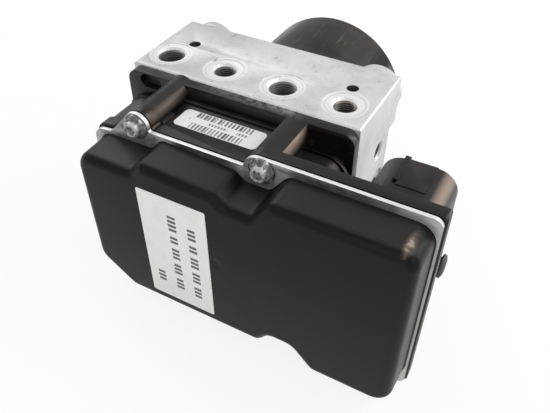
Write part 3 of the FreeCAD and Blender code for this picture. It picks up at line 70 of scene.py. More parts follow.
# A CAD node's corners closer than WELD are merged and its faces joined where they turn less than FLAT.
# An edge sharper than SHARP is broken, and one flatter than ROUND is shaded smooth.
WELD = 0.002 * MM
FLAT = math.radians(1.0)
SHARP = math.radians(40.0)
ROUND = math.radians(32.0)


class Axis(Enum):
    """Directions that a piece or a face can point in."""

    UP = (0.0, 0.0, 1.0)
    RIGHT = (1.0, 0.0, 0.0)
    LEFT = (-1.0, 0.0, 0.0)
    FRONT = (0.0, -1.0, 0.0)
    REAR = (0.0, 1.0, 0.0)

    @property
    def turn(self) -> Euler:
        """Turn that points an upright piece this way."""
        return Vector((0.0, 0.0, 1.0)).rotation_difference(Vector(self.value)).to_euler()


def tone(red: int, green: int, blue: int) -> Colour:
    """Turns a colour as seen on a screen, 0 to 255, into shader values.

    Args:
        red: red part.
        green: green part.
        blue: blue part.

    Returns:
        The three linear values.
    """
    parts = [part / 255 for part in (red, green, blue)]
    return tuple(p / 12.92 if p <= 0.04045 else ((p + 0.055) / 1.055) ** 2.4 for p in parts)


# Shader building


class Signal:
    """A value inside a material, with arithmetic that adds the Math nodes."""

    def __init__(self, shading: "Shading", socket: bpy.types.NodeSocket) -> None:
        """Wraps one output socket."""
        self.shading = shading
        self.socket = socket

    def _math(self, operation: str, *values: object) -> "Signal":
        """Adds one Math node.

        Args:
            operation: the node's operation.
            values: numbers or signals, in the node's order.

        Returns:
            The node's result.
        """
        return self.shading.value("ShaderNodeMath", {"operation": operation}, dict(enumerate(values)))

    def __add__(self, other: object) -> "Signal":
        """Sum."""
        return self._math("ADD", self, other)

    def __radd__(self, other: object) -> "Signal":
        """Sum."""
        return self._math("ADD", other, self)

    def __sub__(self, other: object) -> "Signal":
        """Difference."""
        return self._math("SUBTRACT", self, other)

    def __rsub__(self, other: object) -> "Signal":
        """Difference."""
        return self._math("SUBTRACT", other, self)

    def __mul__(self, other: object) -> "Signal":
        """Product."""
        return self._math("MULTIPLY", self, other)

    def __rmul__(self, other: object) -> "Signal":
        """Product."""
        return self._math("MULTIPLY", other, self)

    def __truediv__(self, other: object) -> "Signal":
        """Quotient."""
        return self._math("DIVIDE", self, other)

    def __gt__(self, other: object) -> "Signal":
        """One where this value is the larger."""
        return self._math("GREATER_THAN", self, other)

    def __lt__(self, other: object) -> "Signal":
        """One where this value is the smaller."""
        return self._math("LESS_THAN", self, other)

    def __abs__(self) -> "Signal":
        """Size without sign."""
        return self._math("ABSOLUTE", self)

    def root(self) -> "Signal":
        """Square root."""
        return self._math("SQRT", self)

    def whole(self) -> "Signal":
        """Next whole number below."""
        return self._math("FLOOR", self)

    def part(self) -> "Signal":
        """Part behind the whole number."""
        return self._math("FRACT", self)

    def within(self, low: float, high: float) -> "Signal":
        """One between two limits, nought outside them."""
        return (self > low) * (self < high)

    def soft(self, low: float, high: float) -> "Signal":
        """Smooth step from nought at low to one at high."""
        return self.shading.value(
            "ShaderNodeMapRange", {"interpolation_type": "SMOOTHSTEP", "clamp": True},
            {"Value": self, "From Min": low, "From Max": high, "To Min": 0.0, "To Max": 1.0})


def distance(*offsets: Signal) -> Signal:
    """Length of the vector that these parts make."""
    total = offsets[0] * offsets[0]
    for offset in offsets[1:]:
        total = total + offset * offset
    return total.root()


class Shading:
    """One material under construction."""

    def __init__(self, name: str) -> None:
        """Makes the material with its surface shader and output."""
        self.material = bpy.data.materials.new(name)
        self.material.use_nodes = True
        self.tree = self.material.node_tree
        self.tree.nodes.clear()
        output = self.tree.nodes.new("ShaderNodeOutputMaterial")
        self.surface = self.tree.nodes.new("ShaderNodeBsdfPrincipled")
        self.tree.links.new(self.surface.outputs[0], output.inputs["Surface"])
        self.place = self.node("ShaderNodeTexCoord").outputs["Object"]

    def node(self, kind: str, settings: dict | None = None,
             sockets: dict | None = None) -> bpy.types.Node:
        """Adds one node.

        Args:
            kind: the node's type.
            settings: its options.
            sockets: values or links of its inputs, by name or number.

        Returns:
            The node.
        """
        item = self.tree.nodes.new(kind)
        for name, value in (settings or {}).items():
            setattr(item, name, value)
        for name, value in (sockets or {}).items():
            self.feed(item.inputs[name], value)
        return item

    def feed(self, target: bpy.types.NodeSocket, value: object) -> None:
        """Links or sets one input."""
        if isinstance(value, Signal):
            value = value.socket
        if isinstance(value, bpy.types.NodeSocket):
            self.tree.links.new(value, target)
        elif isinstance(value, tuple) and len(value) == 3 and target.type == "RGBA":
            target.default_value = (*value, 1.0)
        else:
            target.default_value = value

    def value(self, kind: str, settings: dict | None = None, sockets: dict | None = None) -> Signal:
        """Adds one node and wraps its first output."""
        return Signal(self, self.node(kind, settings, sockets).outputs[0])

    def parts(self, vector: bpy.types.NodeSocket) -> tuple[Signal, Signal, Signal]:
        """The three parts of a vector."""
        split = self.node("ShaderNodeSeparateXYZ", {}, {0: vector})
        return tuple(Signal(self, split.outputs[index]) for index in range(3))

    def millimetres(self) -> tuple[Signal, Signal, Signal]:
        """Place on the piece: across, from front to back, and height."""
        return tuple(part / MM for part in self.parts(self.place))

    def stretched(self, scales: Place) -> bpy.types.NodeSocket:
        """Object coordinates with each axis scaled."""
        return self.node("ShaderNodeMapping", {}, {"Vector": self.place, "Scale": scales}).outputs[0]

    def noise(self, grain: float, detail: float = 2.0, scales: Place | None = None,
              rough: float = 0.5) -> Signal:
        """Cloudy pattern.

        Args:
            grain: size of its features in millimetres.
            detail: number of finer layers.
            scales: stretch of each axis.
            rough: strength of the finer layers.

        Returns:
            A value round one half.
        """
        where = self.stretched(scales) if scales else self.place
        return self.value("ShaderNodeTexNoise", {"noise_dimensions": "3D"}, {
            "Vector": where, "Scale": 1000.0 / grain, "Detail": detail, "Roughness": rough})

    def cells(self, grain: float) -> Signal:
        """Distance to scattered points, for pits and crystals."""
        return self.value("ShaderNodeTexVoronoi", {"feature": "F1"}, {
            "Vector": self.place, "Scale": 1000.0 / grain})

    def facing(self, way: Place, low: float, high: float) -> Signal:
        """Share of a face that points one way.

        Args:
            way: direction, about one long.
            low: cosine where it starts.
            high: cosine where it is whole.

        Returns:
            Nought to one.
        """
        across, forward, upward = self.parts(self.node("ShaderNodeNewGeometry").outputs["Normal"])
        return (across * way[0] + forward * way[1] + upward * way[2]).soft(low, high)

    def chance(self, step: Signal) -> Signal:
        """Random value for each whole step."""
        return self.value("ShaderNodeTexWhiteNoise", {"noise_dimensions": "1D"}, {"W": step.whole()})

    def mix(self, factor: object, first: object, second: object) -> bpy.types.NodeSocket:
        """Colour between two colours."""
        item = self.node("ShaderNodeMix", {"data_type": "RGBA", "clamp_factor": True})
        self.feed(item.inputs[0], factor)
        self.feed(item.inputs[6], first)
        self.feed(item.inputs[7], second)
        return item.outputs[2]

    def finish(self, colour: object, rough: object, metal: object = 0.0, height: Signal | None = None,
               bump: float = 0.1, specular: float = 0.5) -> bpy.types.Material:
        """Connects the surface.

        Args:
            colour: base colour.
            rough: roughness.
            metal: share of bare metal.
            height: relief in millimetres.
            bump: strength of the relief.
            specular: strength of the clear reflection.

        Returns:
            The material.
        """
        self.feed(self.surface.inputs["Base Color"], colour)
        self.feed(self.surface.inputs["Roughness"], rough)
        self.feed(self.surface.inputs["Metallic"], metal)
        if height is not None:
            relief = self.node("ShaderNodeBump", {}, {"Height": height, "Strength": bump, "Distance": MM})
            self.feed(self.surface.inputs["Normal"], relief.outputs[0])
        self.surface.inputs["Specular IOR Level"].default_value = specular
        return self.material


@dataclass(frozen=True)
class Finish:
    """A plain finish: one colour with cloudy change, fine grain and light relief."""

    name: str
    colour: Colour
    worn: Colour
    rough: float = 0.45
    metal: float = 0.0
    grain: float = 0.5
    bump: float = 0.15

    def make(self) -> bpy.types.Material:
        """Builds the material."""
        look = Shading(self.name)
        cloud = look.noise(9.0, 4.0)
        fine = look.noise(self.grain, 3.0)
        colour = look.mix(cloud.soft(0.35, 0.75), self.colour, self.worn)
        rough = self.rough + (cloud - 0.5) * 0.25
        return look.finish(colour, rough, self.metal, fine * 0.1, self.bump)


@dataclass(frozen=True)
class PortRow:
    """The four outlet ports on the block's top, in millimetres."""

    pitch: float = 26.4
    centre: float = -1.1
    y: float = -8.3
    top: float = 88.8


@dataclass(frozen=True)
class MilledAluminium:
    """Milled block: even pale metal, bright spot faces round the ports, pits and handling marks; painted
    shade on the left part, the right side, in the side bores and over the balls.
    """

    ports: PortRow
    name: str = "milled_aluminium"
    face: Colour = tone(222, 222, 222)
    haze: Colour = tone(198, 197, 195)
    shade: Colour = tone(184, 183, 181)
    bright: Colour = tone(240, 240, 238)
    grime_and_bore_shade: Colour = tone(96, 88, 80)
    ball_wall_shade: Colour = tone(20, 18, 16)
    side: float = 50.2
    spot_face: float = 9.4
    spot_depth: float = 1.5
    groove: Pair = (7.5, 8.1)
    side_bore: Pair = (3.5, 63.2)
    side_bore_radius: float = 3.5
    side_bore_rim: float = 4.6
    ball_hole: Pair = (36.6, 3.4)
    ball_hole_radius: float = 2.7
    shaded: Pair = (5.0, -40.0)

    def _spot_faces(self, x: Signal, y: Signal, z: Signal) -> tuple[Signal, Signal]:
        """Bright spot face of each port and the groove in it.

        Args:
            x: place across the block in millimetres.
            y: place from front to back.
            z: height.

        Returns:
            The two masks.
        """
        row = self.ports
        along = (((x - row.centre) / row.pitch).part() - 0.5) * row.pitch
        reach = distance(along, y - row.y)
        on_top = z > row.top - self.spot_depth
        ring = reach.soft(self.spot_face, self.spot_face - 0.5)
        return ring * on_top, reach.within(*self.groove) * on_top

    def _hole_shade(self, x: Signal, y: Signal, z: Signal) -> tuple[Signal, Signal]:
        """Painted shade in the bore of each side, on its rim and on the walls above the top's balls.

        Args:
            x: place across the block in millimetres.
            y: place from front to back.
            z: height.

        Returns:
            The two masks.
        """
        reach = distance(y - self.side_bore[0], z - self.side_bore[1])
        rim = reach.within(self.side_bore_radius, self.side_bore_rim)
        inside = abs(x) < self.side - 0.05
        # Painted shade inside each side bore and, lighter, on its rim.
        bore_shade = ((reach < self.side_bore_radius) * 0.9 + rim * 0.35) * inside
        over_ball = distance(abs(x) - self.ball_hole[0], y - self.ball_hole[1])
        return bore_shade, (over_ball < self.ball_hole_radius) * (z < self.ports.top - 0.3)

    def make(self) -> bpy.types.Material:
        """Builds the material."""
        look = Shading(self.name)
        x, y, z = look.millimetres()
        haze = look.noise(14.0, 4.0, rough=0.6).soft(0.38, 0.72)
        lines = look.noise(0.9, 2.0, scales=(0.12, 1.0, 1.0))
        patch = look.noise(7.0, 3.0).soft(0.46, 0.62)
        pits = look.cells(2.3).soft(0.13, 0.05) * patch
        dots = look.noise(0.75, 1.0).soft(0.68, 0.76) * look.noise(11.0, 2.0).soft(0.42, 0.6)
        scuff = look.noise(2.6, 3.0, scales=(1.0, 0.35, 1.0)).soft(0.62, 0.74) * patch
        ring, groove = self._spot_faces(x, y, z)
        bore_shade, ball_wall_shade = self._hole_shade(x, y, z)
        # Painted shade: the left part of the block and its right-facing side are darkened towards the shade
        # colour.
        painted_shade = x.soft(*self.shaded) * 0.6 + look.facing(Axis.RIGHT.value, 0.9, 1.0) * 0.6
        colour = look.mix(haze, self.face, self.haze)
        colour = look.mix(painted_shade, colour, self.shade)
        colour = look.mix(ring * 0.55, colour, self.bright)
        colour = look.mix(groove * 0.6, colour, self.haze)
        # Painted shade in the side bores and over the balls; the pits, dots and scuffs below are real
        # grime.
        colour = look.mix(bore_shade, colour, self.grime_and_bore_shade)
        colour = look.mix(ball_wall_shade * 0.9, colour, self.ball_wall_shade)
        colour = look.mix(pits * 0.8 + dots * 0.75 + scuff * 0.5, colour, self.grime_and_bore_shade)
        rough = 0.42 + haze * 0.12 + (lines - 0.5) * 0.2 + ring * 0.1
        height = lines * 0.03 - pits * 0.15 - scuff * 0.03
        return look.finish(colour, rough, 0.55, height, 0.5)


@dataclass(frozen=True)
class MouldedPlastic:
    """Black glass-filled moulding: fine grain, painted highlights on the shroud, first sleeve and web,
    painted shade in the label recess and pocket, dusty rim.
    """

    name: str
    colour: Colour = tone(19, 18, 17)
    sheen: Colour = tone(32, 29, 26)
    speck: Colour = tone(96, 90, 83)
    painted_highlight: Colour = tone(134, 114, 100)
    web_highlight: Colour = tone(186, 164, 148)
    dust: Colour = tone(126, 124, 120)
    recess_shade: Colour = tone(6, 6, 6)
    pocket_shade: Colour = tone(4, 4, 4)
    shroud_x: Pair = (58.0, 62.0)
    tray_front: float = -44.9
    sleeve_x: Pair = (-34.0, -16.0)
    sleeve_y: Pair = (-23.0, -38.0)
    recess_x: Pair = (-24.0, 31.0)
    recess_y: Pair = (-45.5, -26.0)
    recess_top: float = 85.0
    web_x: Pair = (31.0, 32.0)
    web_y: Pair = (-23.0, -34.0)
    web_z: Pair = (80.0, 88.0)
    pocket_x: Pair = (31.9, 48.6)
    pocket_y: Pair = (-44.9, -25.6)
    pocket_z: Pair = (87.5, 83.0)
    rim_left: Pair = (-20.0, -8.0)
    rim_right: Pair = (30.0, 22.0)
    rim_y: Pair = (-26.5, -21.5)
    rim_z: float = 86.0
    rough: float = 0.4

    def _highlight_mask(self, look: Shading, x: Signal, y: Signal) -> Signal:
        """Painted highlight on the shroud's round side and on the first sleeve."""
        shroud = look.facing((0.62, 0.0, 0.78), 0.88, 1.0) * (x.soft(*self.shroud_x) * 0.85 + 0.05)
        sleeve = look.facing((0.86, 0.0, 0.51), 0.86, 0.99) * x.within(*self.sleeve_x)
        return shroud * (y > self.tray_front) + sleeve * y.soft(*self.sleeve_y) * 0.25

    def _dusty_rim(self, look: Shading, x: Signal, y: Signal, z: Signal) -> Signal:
        """Dust that has settled on the tray's rear rim."""
        rim = x.soft(*self.rim_left) * x.soft(*self.rim_right) * y.soft(*self.rim_y) * (z > self.rim_z)
        clumps = look.noise(2.4, 4.0, rough=0.7).soft(0.34, 0.6)
        return rim * clumps * (x.soft(-12.0, 26.0) * 0.5 + 0.35)

    def make(self) -> bpy.types.Material:
        """Builds the material."""
        look = Shading(self.name)
        x, y, z = look.millimetres()
        cloud = look.noise(12.0, 3.0)
        grain = look.noise(0.35, 2.0)
        flow = look.noise(5.0, 3.0, scales=(1.0, 0.25, 1.0))
        specks = look.noise(0.6, 1.0).soft(0.7, 0.78) * cloud.soft(0.45, 0.6)
        recess = x.within(*self.recess_x) * y.within(*self.recess_y) * (z < self.recess_top)
        pocket = x.within(*self.pocket_x) * y.within(*self.pocket_y) * z.soft(*self.pocket_z)
        # Painted highlight on the right face of the web inside the pocket.
        lit_web = look.facing(Axis.RIGHT.value, 0.9, 1.0) * x.within(*self.web_x)
        lit_web = lit_web * y.soft(*self.web_y) * z.soft(*self.web_z)
        colour = look.mix(cloud.soft(0.4, 0.75) * 0.7, self.colour, self.sheen)
        colour = look.mix(specks * 0.4, colour, self.speck)
        # Painted shade on the floor of the label recess and, deepening downwards, inside the pocket.
        colour = look.mix(recess * 0.4, colour, self.recess_shade)
        colour = look.mix(pocket * 0.9, colour, self.pocket_shade)
        # Painted highlight on the shroud's round side and the first sleeve.
        colour = look.mix(self._highlight_mask(look, x, y), colour, self.painted_highlight)
        colour = look.mix(lit_web * 0.9, colour, self.web_highlight)
        colour = look.mix(self._dusty_rim(look, x, y, z), colour, self.dust)
        rough = self.rough + (flow - 0.5) * 0.22 + (grain - 0.5) * 0.1
        look.surface.inputs["Specular Tint"].default_value = (1.0, 0.93, 0.86, 1.0)
        return look.finish(colour, rough, 0.0, grain * 0.06 + flow * 0.04, 0.35, specular=0.36)


@dataclass(frozen=True)
class CoatedSheet:
    """Cover: satin black coat on the dome, thinning out over the bare flange and its cut edge; painted
    light on the walls, the top right corner and the cut edge.
    """

    name: str = "coated_sheet"
    coat: Colour = tone(14, 12, 11)
    lift: Colour = tone(22, 19, 17)
    wall_light: Colour = tone(54, 53, 51)
    gate_mark: Colour = tone(3, 3, 3)
    painted_highlight: Colour = tone(112, 96, 84)
    highlight_centre: Colour = tone(196, 182, 168)
    bare: Colour = tone(196, 195, 192)
    dull_and_shaded: Colour = tone(138, 136, 132)
    cut_edge_highlight: Colour = tone(232, 232, 230)
    flange_front: float = -52.0
    gate: Pair = (16.0, 45.7)
    highlight_corner: Place = (83.5, -61.8, 84.4)
    clean_x: Pair = (62.0, 70.0)
    coated_left: float = 3.0
    coated_right: float = 57.0

    def _coat(self, look: Shading, cloud: Signal, spot: Signal) -> bpy.types.NodeSocket:
        """Colour of the coat, with painted light on the top and side walls, the gate mark and a painted
        highlight on the top right corner.

        Args:
            look: the material under construction.
            cloud: slow change over the sheet.
            spot: distance from the gate mark in millimetres.

        Returns:
            The colour.
        """
        # Painted light: the top and side walls are paler than the front face.
        lit_walls = look.facing(Axis.UP.value, 0.8, 1.0) * 0.5
        lit_walls = lit_walls + look.facing(Axis.RIGHT.value, 0.8, 1.0) * 0.8
        lit_walls = lit_walls + look.facing(Axis.LEFT.value, 0.8, 1.0)
        # Painted highlight on the dome's top right corner, brightest at its centre.
        places = zip(look.millimetres(), self.highlight_corner)
        across, deep, up = (place - corner for place, corner in places)
        ragged = (look.noise(1.6, 3.0) - 0.5) * 2.4
        reach = distance(across * 1.1832, deep * 0.3, up) + ragged
        coat = look.mix(cloud.soft(0.4, 0.75), self.coat, self.lift)
        coat = look.mix(lit_walls, coat, self.wall_light)
        coat = look.mix(spot.soft(2.0, 1.3), coat, self.gate_mark)
        coat = look.mix(reach.soft(2.6, 0.2) * 0.85, coat, self.painted_highlight)
        return look.mix(reach.soft(1.2, 0.2) * 0.45, coat, self.highlight_centre)

    def make(self) -> bpy.types.Material:
        """Builds the material."""
        look = Shading(self.name)
        x, y, z = look.millimetres()
        _, forward, upward = look.parts(look.node("ShaderNodeNewGeometry").outputs["True Normal"])
        on_flange = y > self.flange_front - 0.05
        flat = on_flange * (abs(forward) > 0.9)
        cut = on_flange * (abs(forward) < 0.5)
        lit_from_above = upward.soft(0.0, 0.5)
        cloud = look.noise(16.0, 3.0)
        peel = look.noise(1.3, 2.0)
        patches = look.noise(10.0, 4.0, rough=0.6)
        spot = distance(x - self.gate[0], (z - self.gate[1]) * 0.7071)
        dulled = patches.soft(0.35, 0.62) * (1.0 - x.soft(*self.clean_x) * 0.8)
        covered = abs(x - self.coated_left).soft(15.0, 9.0)
        covered = covered + abs(x - self.coated_right).soft(21.0, 17.0) * 0.9
        thin = flat * (1.0 - covered * 0.75) * patches.soft(0.95, 0.55)
        metal = look.mix(dulled, self.bare, self.dull_and_shaded)
        colour = look.mix(thin * 0.9, self._coat(look, cloud, spot), metal)
        # Painted light on the cut edge: bright where it faces up, painted shade where it faces sideways or
        # down.
        colour = look.mix(cut * (1.0 - lit_from_above) * 0.5, colour, self.dull_and_shaded)
        colour = look.mix(cut * lit_from_above, colour, self.cut_edge_highlight)
        rough = 0.42 + (cloud - 0.5) * 0.2 + cut * 0.05
        height = peel * 0.05 + spot.soft(2.1, 1.2) * -0.5
        return look.finish(colour, rough, thin * 0.7 + cut * lit_from_above * 0.6, height, 0.3, specular=0.16)


@dataclass(frozen=True)
class MotorCoat:
    """Drawn motor can: thin dark brown-grey coat with drawing lines along its length, painted highlights
    and painted shade on the right flank.
    """

    name: str = "motor_coat"
    coat: Colour = tone(45, 42, 40)
    light: Colour = tone(62, 58, 54)
    scratched: Colour = tone(120, 108, 98)
    sheen: Colour = tone(150, 142, 134)
    shadow: Colour = tone(9, 8, 8)

    def make(self) -> bpy.types.Material:
        """Builds the material."""
        look = Shading(self.name)
        lines = look.noise(1.2, 3.0, scales=(1.0, 0.05, 1.0))
        cloud = look.noise(18.0, 3.0)
        scratch = look.noise(0.8, 1.0, scales=(1.0, 0.08, 1.0)).soft(0.66, 0.74)
        upper_left_highlight = look.facing((-0.66, 0.0, 0.75), 0.95, 1.0)
        flank = look.facing((0.9, 0.0, 0.43), 0.86, 0.96)
        glint = look.facing((0.86, 0.0, 0.51), 0.994, 1.0)
        colour = look.mix(cloud.soft(0.35, 0.7), self.coat, self.light)
        colour = look.mix(scratch * 0.35, colour, self.scratched)
        # Painted highlights at the upper left and in a thin glint, painted shade on the right flank.
        colour = look.mix(upper_left_highlight * 0.3, colour, self.sheen)
        colour = look.mix(flank * 0.9, colour, self.shadow)
        colour = look.mix(glint * 0.3, colour, self.sheen)
        rough = 0.38 + (lines - 0.5) * 0.25 + (cloud - 0.5) * 0.1 + flank * 0.35
        return look.finish(colour, rough, 0.25 - flank * 0.25, lines * 0.03, 0.4, specular=0.3)


@dataclass(frozen=True)
class PolishedBall:
    """Steel ball with a painted reflection, dark behind and bright towards the front."""

    name: str = "polished_ball"
    steel: Colour = tone(232, 232, 230)
    dark_reflection: Colour = tone(34, 32, 30)

    def make(self) -> bpy.types.Material:
        """Builds the material."""
        look = Shading(self.name)
        film = look.noise(1.4, 3.0).soft(0.35, 0.65) * 0.08
        # Painted reflection: dark on the faces turned back, bright on those turned to the front.
        bright_reflection = look.facing((0.2, -0.5, 0.84), 0.9, 0.99)
        colour = look.mix(bright_reflection * 0.9 + film, self.dark_reflection, self.steel)
        return look.finish(colour, 0.22 + film * 0.3, 0.9, film * 0.1, 0.2)


@dataclass(frozen=True)
class ZincPlate:
    """Zinc-plated screws: patchy grey crystals, paler on the heads than on the washers, dirt in the
    hollows.
    """

    name: str = "zinc_plate"
    plate: Colour = tone(120, 119, 117)
    bright: Colour = tone(214, 214, 212)
    dirt: Colour = tone(50, 47, 44)
    crown_y: Pair = (-53.9, -54.9)

    def make(self) -> bpy.types.Material:
        """Builds the material."""
        look = Shading(self.name)
        _, y, _ = look.millimetres()
        crystals = look.cells(0.9)
        patches = look.noise(1.6, 4.0, rough=0.65)
        colour = look.mix(patches.soft(0.5, 0.68), self.plate, self.bright)
        # Paler on the heads than on the washers.
        colour = look.mix(y.soft(*self.crown_y) * 0.6, colour, self.bright)
        colour = look.mix(patches.soft(0.47, 0.32), colour, self.dirt)
        rough = 0.38 + crystals * 0.3
        return look.finish(colour, rough, 0.85, crystals * 0.12 + patches * 0.2, 0.8)


class PrintKind(Enum):
    """What a label carries."""

    ROWS = "rows of small blocks"
    BARS = "two bands of bars"


@dataclass(frozen=True)
class BlockRow:
    """One upright row of small blocks on the front label, in millimetres."""

    x: float
    z: Pair


@dataclass(frozen=True)
class BarBand:
    """One band of bars on the bar label, in millimetres."""

    x: Pair
    y: Pair
    pitch: float
    shift: float


@dataclass(frozen=True)
class LabelFilm:
    """White label film with plain generic print fields and faint stains."""

    name: str
    kind: PrintKind
    film: Colour = tone(235, 234, 231)
    stain: Colour = tone(212, 200, 188)
    ink: Colour = tone(36, 34, 33)
    rows: tuple[BlockRow, ...] = (
        BlockRow(-11.0, (22.2, 30.9)), BlockRow(-2.3, (21.3, 61.5)), BlockRow(6.2, (20.4, 59.3)))
    block_pitch: float = 2.17
    block_share: float = 0.62
    gaps: tuple[int, ...] = (3, 7, 11, 14)
    bands: tuple[BarBand, ...] = (
        BarBand((-11.6, 13.2), (-35.1, -31.9), 1.55, 20.0),
        BarBand((-10.0, 12.0), (-42.3, -38.7), 1.45, 40.0))
    fine_x: Pair = (-12.5, 13.0)
    fine_y: Pair = (-37.6, -36.2)
    fine_pitch: float = 1.3

    def _rows(self, look: Shading) -> Signal:
        """Three upright rows of small blocks, in groups."""
        x, _, z = look.millimetres()
        ink = 0.0
        for row in self.rows:
            step = (z - row.z[0]) / self.block_pitch
            block = step.part() < self.block_share
            for gap in self.gaps:
                block = block * (1.0 - step.within(gap, gap + 1))
            half = 1.6 + look.chance(step + (row.x + 60.0)) * 0.3
            ink = ink + (abs(x - row.x) < half) * z.within(*row.z) * block
        return ink

    def _bars(self, look: Shading) -> Signal:
        """Two bands of upright bars with a line of fine blocks between them."""
        x, y, _ = look.millimetres()
        ink = 0.0
        for band in self.bands:
            step = x / band.pitch + band.shift
            bar = step.part() < look.chance(step) * 0.5 + 0.33
            ink = ink + y.within(*band.y) * x.within(*band.x) * bar
        fine = y.within(*self.fine_y) * x.within(*self.fine_x) * ((x / self.fine_pitch).part() < 0.6)
        return ink * (look.chance(x / 2.3) * 0.15 + 0.85) + fine * (look.chance(x / 4.1) > 0.15) * 0.8

    def make(self) -> bpy.types.Material:
        """Builds the material."""
        look = Shading(self.name)
        stain = look.noise(8.0, 3.0).soft(0.5, 0.75)
        ink = self._rows(look) if self.kind is PrintKind.ROWS else self._bars(look)
        colour = look.mix(stain * 0.2, self.film, self.stain)
        colour = look.mix(ink * 0.92, colour, self.ink)
        rough = 0.5 + stain * 0.1
        return look.finish(colour, rough, 0.0, look.noise(0.8, 2.0) * 0.04, 0.15)


# Modelling helpers


def deselect() -> None:
    """Leaves object mode with nothing selected."""
    if bpy.context.object and bpy.context.object.mode != "OBJECT":
        bpy.ops.object.mode_set(mode="OBJECT")
    bpy.ops.object.select_all(action="DESELECT")


def activate(item: bpy.types.Object) -> None:
    """Selects one object alone."""
    deselect()
    item.select_set(True)
    bpy.context.view_layer.objects.active = item


def pick(item: bpy.types.Object, test: Callable[[Vector, Vector], bool], faces: bool = True) -> None:
    """Selects faces or corners by place, in edit mode.

    Args:
        item: object in edit mode.
        test: gets the centre and the normal, and says whether it is meant.
        faces: faces if true, corners if false.
    """
    bpy.ops.mesh.select_mode(type="FACE" if faces else "VERT")
    bpy.ops.mesh.select_all(action="DESELECT")
    bpy.ops.object.mode_set(mode="OBJECT")
    if faces:
        for face in item.data.polygons:
            face.select = test(face.center, face.normal)
    else:
        for corner in item.data.vertices:
            corner.select = test(corner.co, corner.normal)
    bpy.ops.object.mode_set(mode="EDIT")


def settle(item: bpy.types.Object) -> None:
    """Applies an object's place, turn and scale to its mesh."""
    activate(item)
    bpy.ops.object.transform_apply(location=True, rotation=True, scale=True)


def dress(item: bpy.types.Object, material: bpy.types.Material) -> None:
    """Gives an object one material on all its faces."""
    item.data.materials.clear()
    item.data.materials.append(material)
    for face in item.data.polygons:
        face.material_index = 0


def break_edges(item: bpy.types.Object, width: float, angle: float) -> None:
    """Rounds the sharp edges of a mesh a little.

    Args:
        item: the mesh's object.
        width: width of the broken edges in millimetres.
        angle: sharpness above which an edge is broken, in radians.
    """
    bevel = item.modifiers.new("edges", "BEVEL")
    bevel.width = width * MM
    bevel.segments = 2
    bevel.limit_method = "ANGLE"
    bevel.angle_limit = angle
    bpy.ops.object.modifier_apply(modifier=bevel.name)


def skin(node: str, body: str, material: bpy.types.Material, edge: float = 0.0) -> bpy.types.Object:
    """Smooth copy of a CAD node, with broken edges, that stands for it.

    Args:
        node: the CAD node's name.
        body: the body that it rides on.
        material: its finish.
        edge: width of the broken edges in millimetres, or none.

    Returns:
        The new piece.
    """
    source = frame["nodes"][node]
    item = source.copy()
    item.data = source.data.copy()
    item.name = node + "_skin"
    for key in list(item.keys()):
        del item[key]
    item.parent = None
    bpy.context.scene.collection.objects.link(item)
    activate(item)
    if item.data.has_custom_normals:
        bpy.ops.mesh.customdata_custom_splitnormals_clear()
    bpy.ops.object.mode_set(mode="EDIT")
    bpy.ops.mesh.select_all(action="SELECT")
    bpy.ops.mesh.remove_doubles(threshold=WELD)
    if edge:
        bpy.ops.mesh.dissolve_limited(angle_limit=FLAT)
    bpy.ops.object.mode_set(mode="OBJECT")
    if edge:
        break_edges(item, edge, SHARP)
    bpy.ops.object.shade_smooth_by_angle(angle=ROUND)
    dress(item, material)
    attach(item, body)
    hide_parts(node)
    return item


def finish_nodes(names: Sequence[str], material: bpy.types.Material) -> None:
    """Gives several CAD nodes one finish.

    Args:
        names: the nodes.
        material: the finish.
    """
    for name in names:
        dress(frame["nodes"][name], material)


# The object's own pieces


@dataclass
class PortThread:
    """Thread turns inside one pipe port, in millimetres."""

    radius: float
    mouth: Place
    direction: Axis
    pitch: float = 1.0
    depth: float = 10.5
    ridge: float = 0.52
    sunk: float = 0.12
    steps: int = 28

    def build(self, name: str, material: bpy.types.Material) -> bpy.types.Object:
        """Winds a ridge of triangular section into the bore.

        Args:
            name: the piece's name.
            material: its finish.

        Returns:
            The piece.
        """
        deselect()
        section = ((self.radius - self.sunk) * MM, 0, 0)
        quarter = math.radians(90)
        bpy.ops.mesh.primitive_circle_add(vertices=3, radius=self.ridge * MM, fill_type="NGON",
                                          location=section, rotation=(quarter, 0, 2 * quarter))
        item = bpy.context.object
        item.name = name
        bpy.ops.object.mode_set(mode="EDIT")
        bpy.ops.transform.rotate(value=quarter, orient_axis="Y", center_override=section)
        bpy.ops.object.mode_set(mode="OBJECT")
        bpy.ops.object.transform_apply(location=True, rotation=True, scale=True)
        turns = item.modifiers.new("turns", "SCREW")
        turns.axis = "Z"
        turns.angle = math.radians(360)
        turns.screw_offset = -self.pitch * MM
        turns.iterations = int(self.depth / self.pitch)
        turns.steps = turns.render_steps = self.steps
        turns.use_merge_vertices = True
        bpy.ops.object.modifier_apply(modifier=turns.name)
        item.rotation_euler = self.direction.turn
        item.location = Vector(self.mouth) * MM
        settle(item)
        bpy.ops.object.mode_set(mode="EDIT")
        bpy.ops.mesh.select_all(action="SELECT")
        bpy.ops.mesh.normals_make_consistent(inside=False)
        bpy.ops.object.mode_set(mode="OBJECT")
        dress(item, material)
        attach(item, "module")
        return item


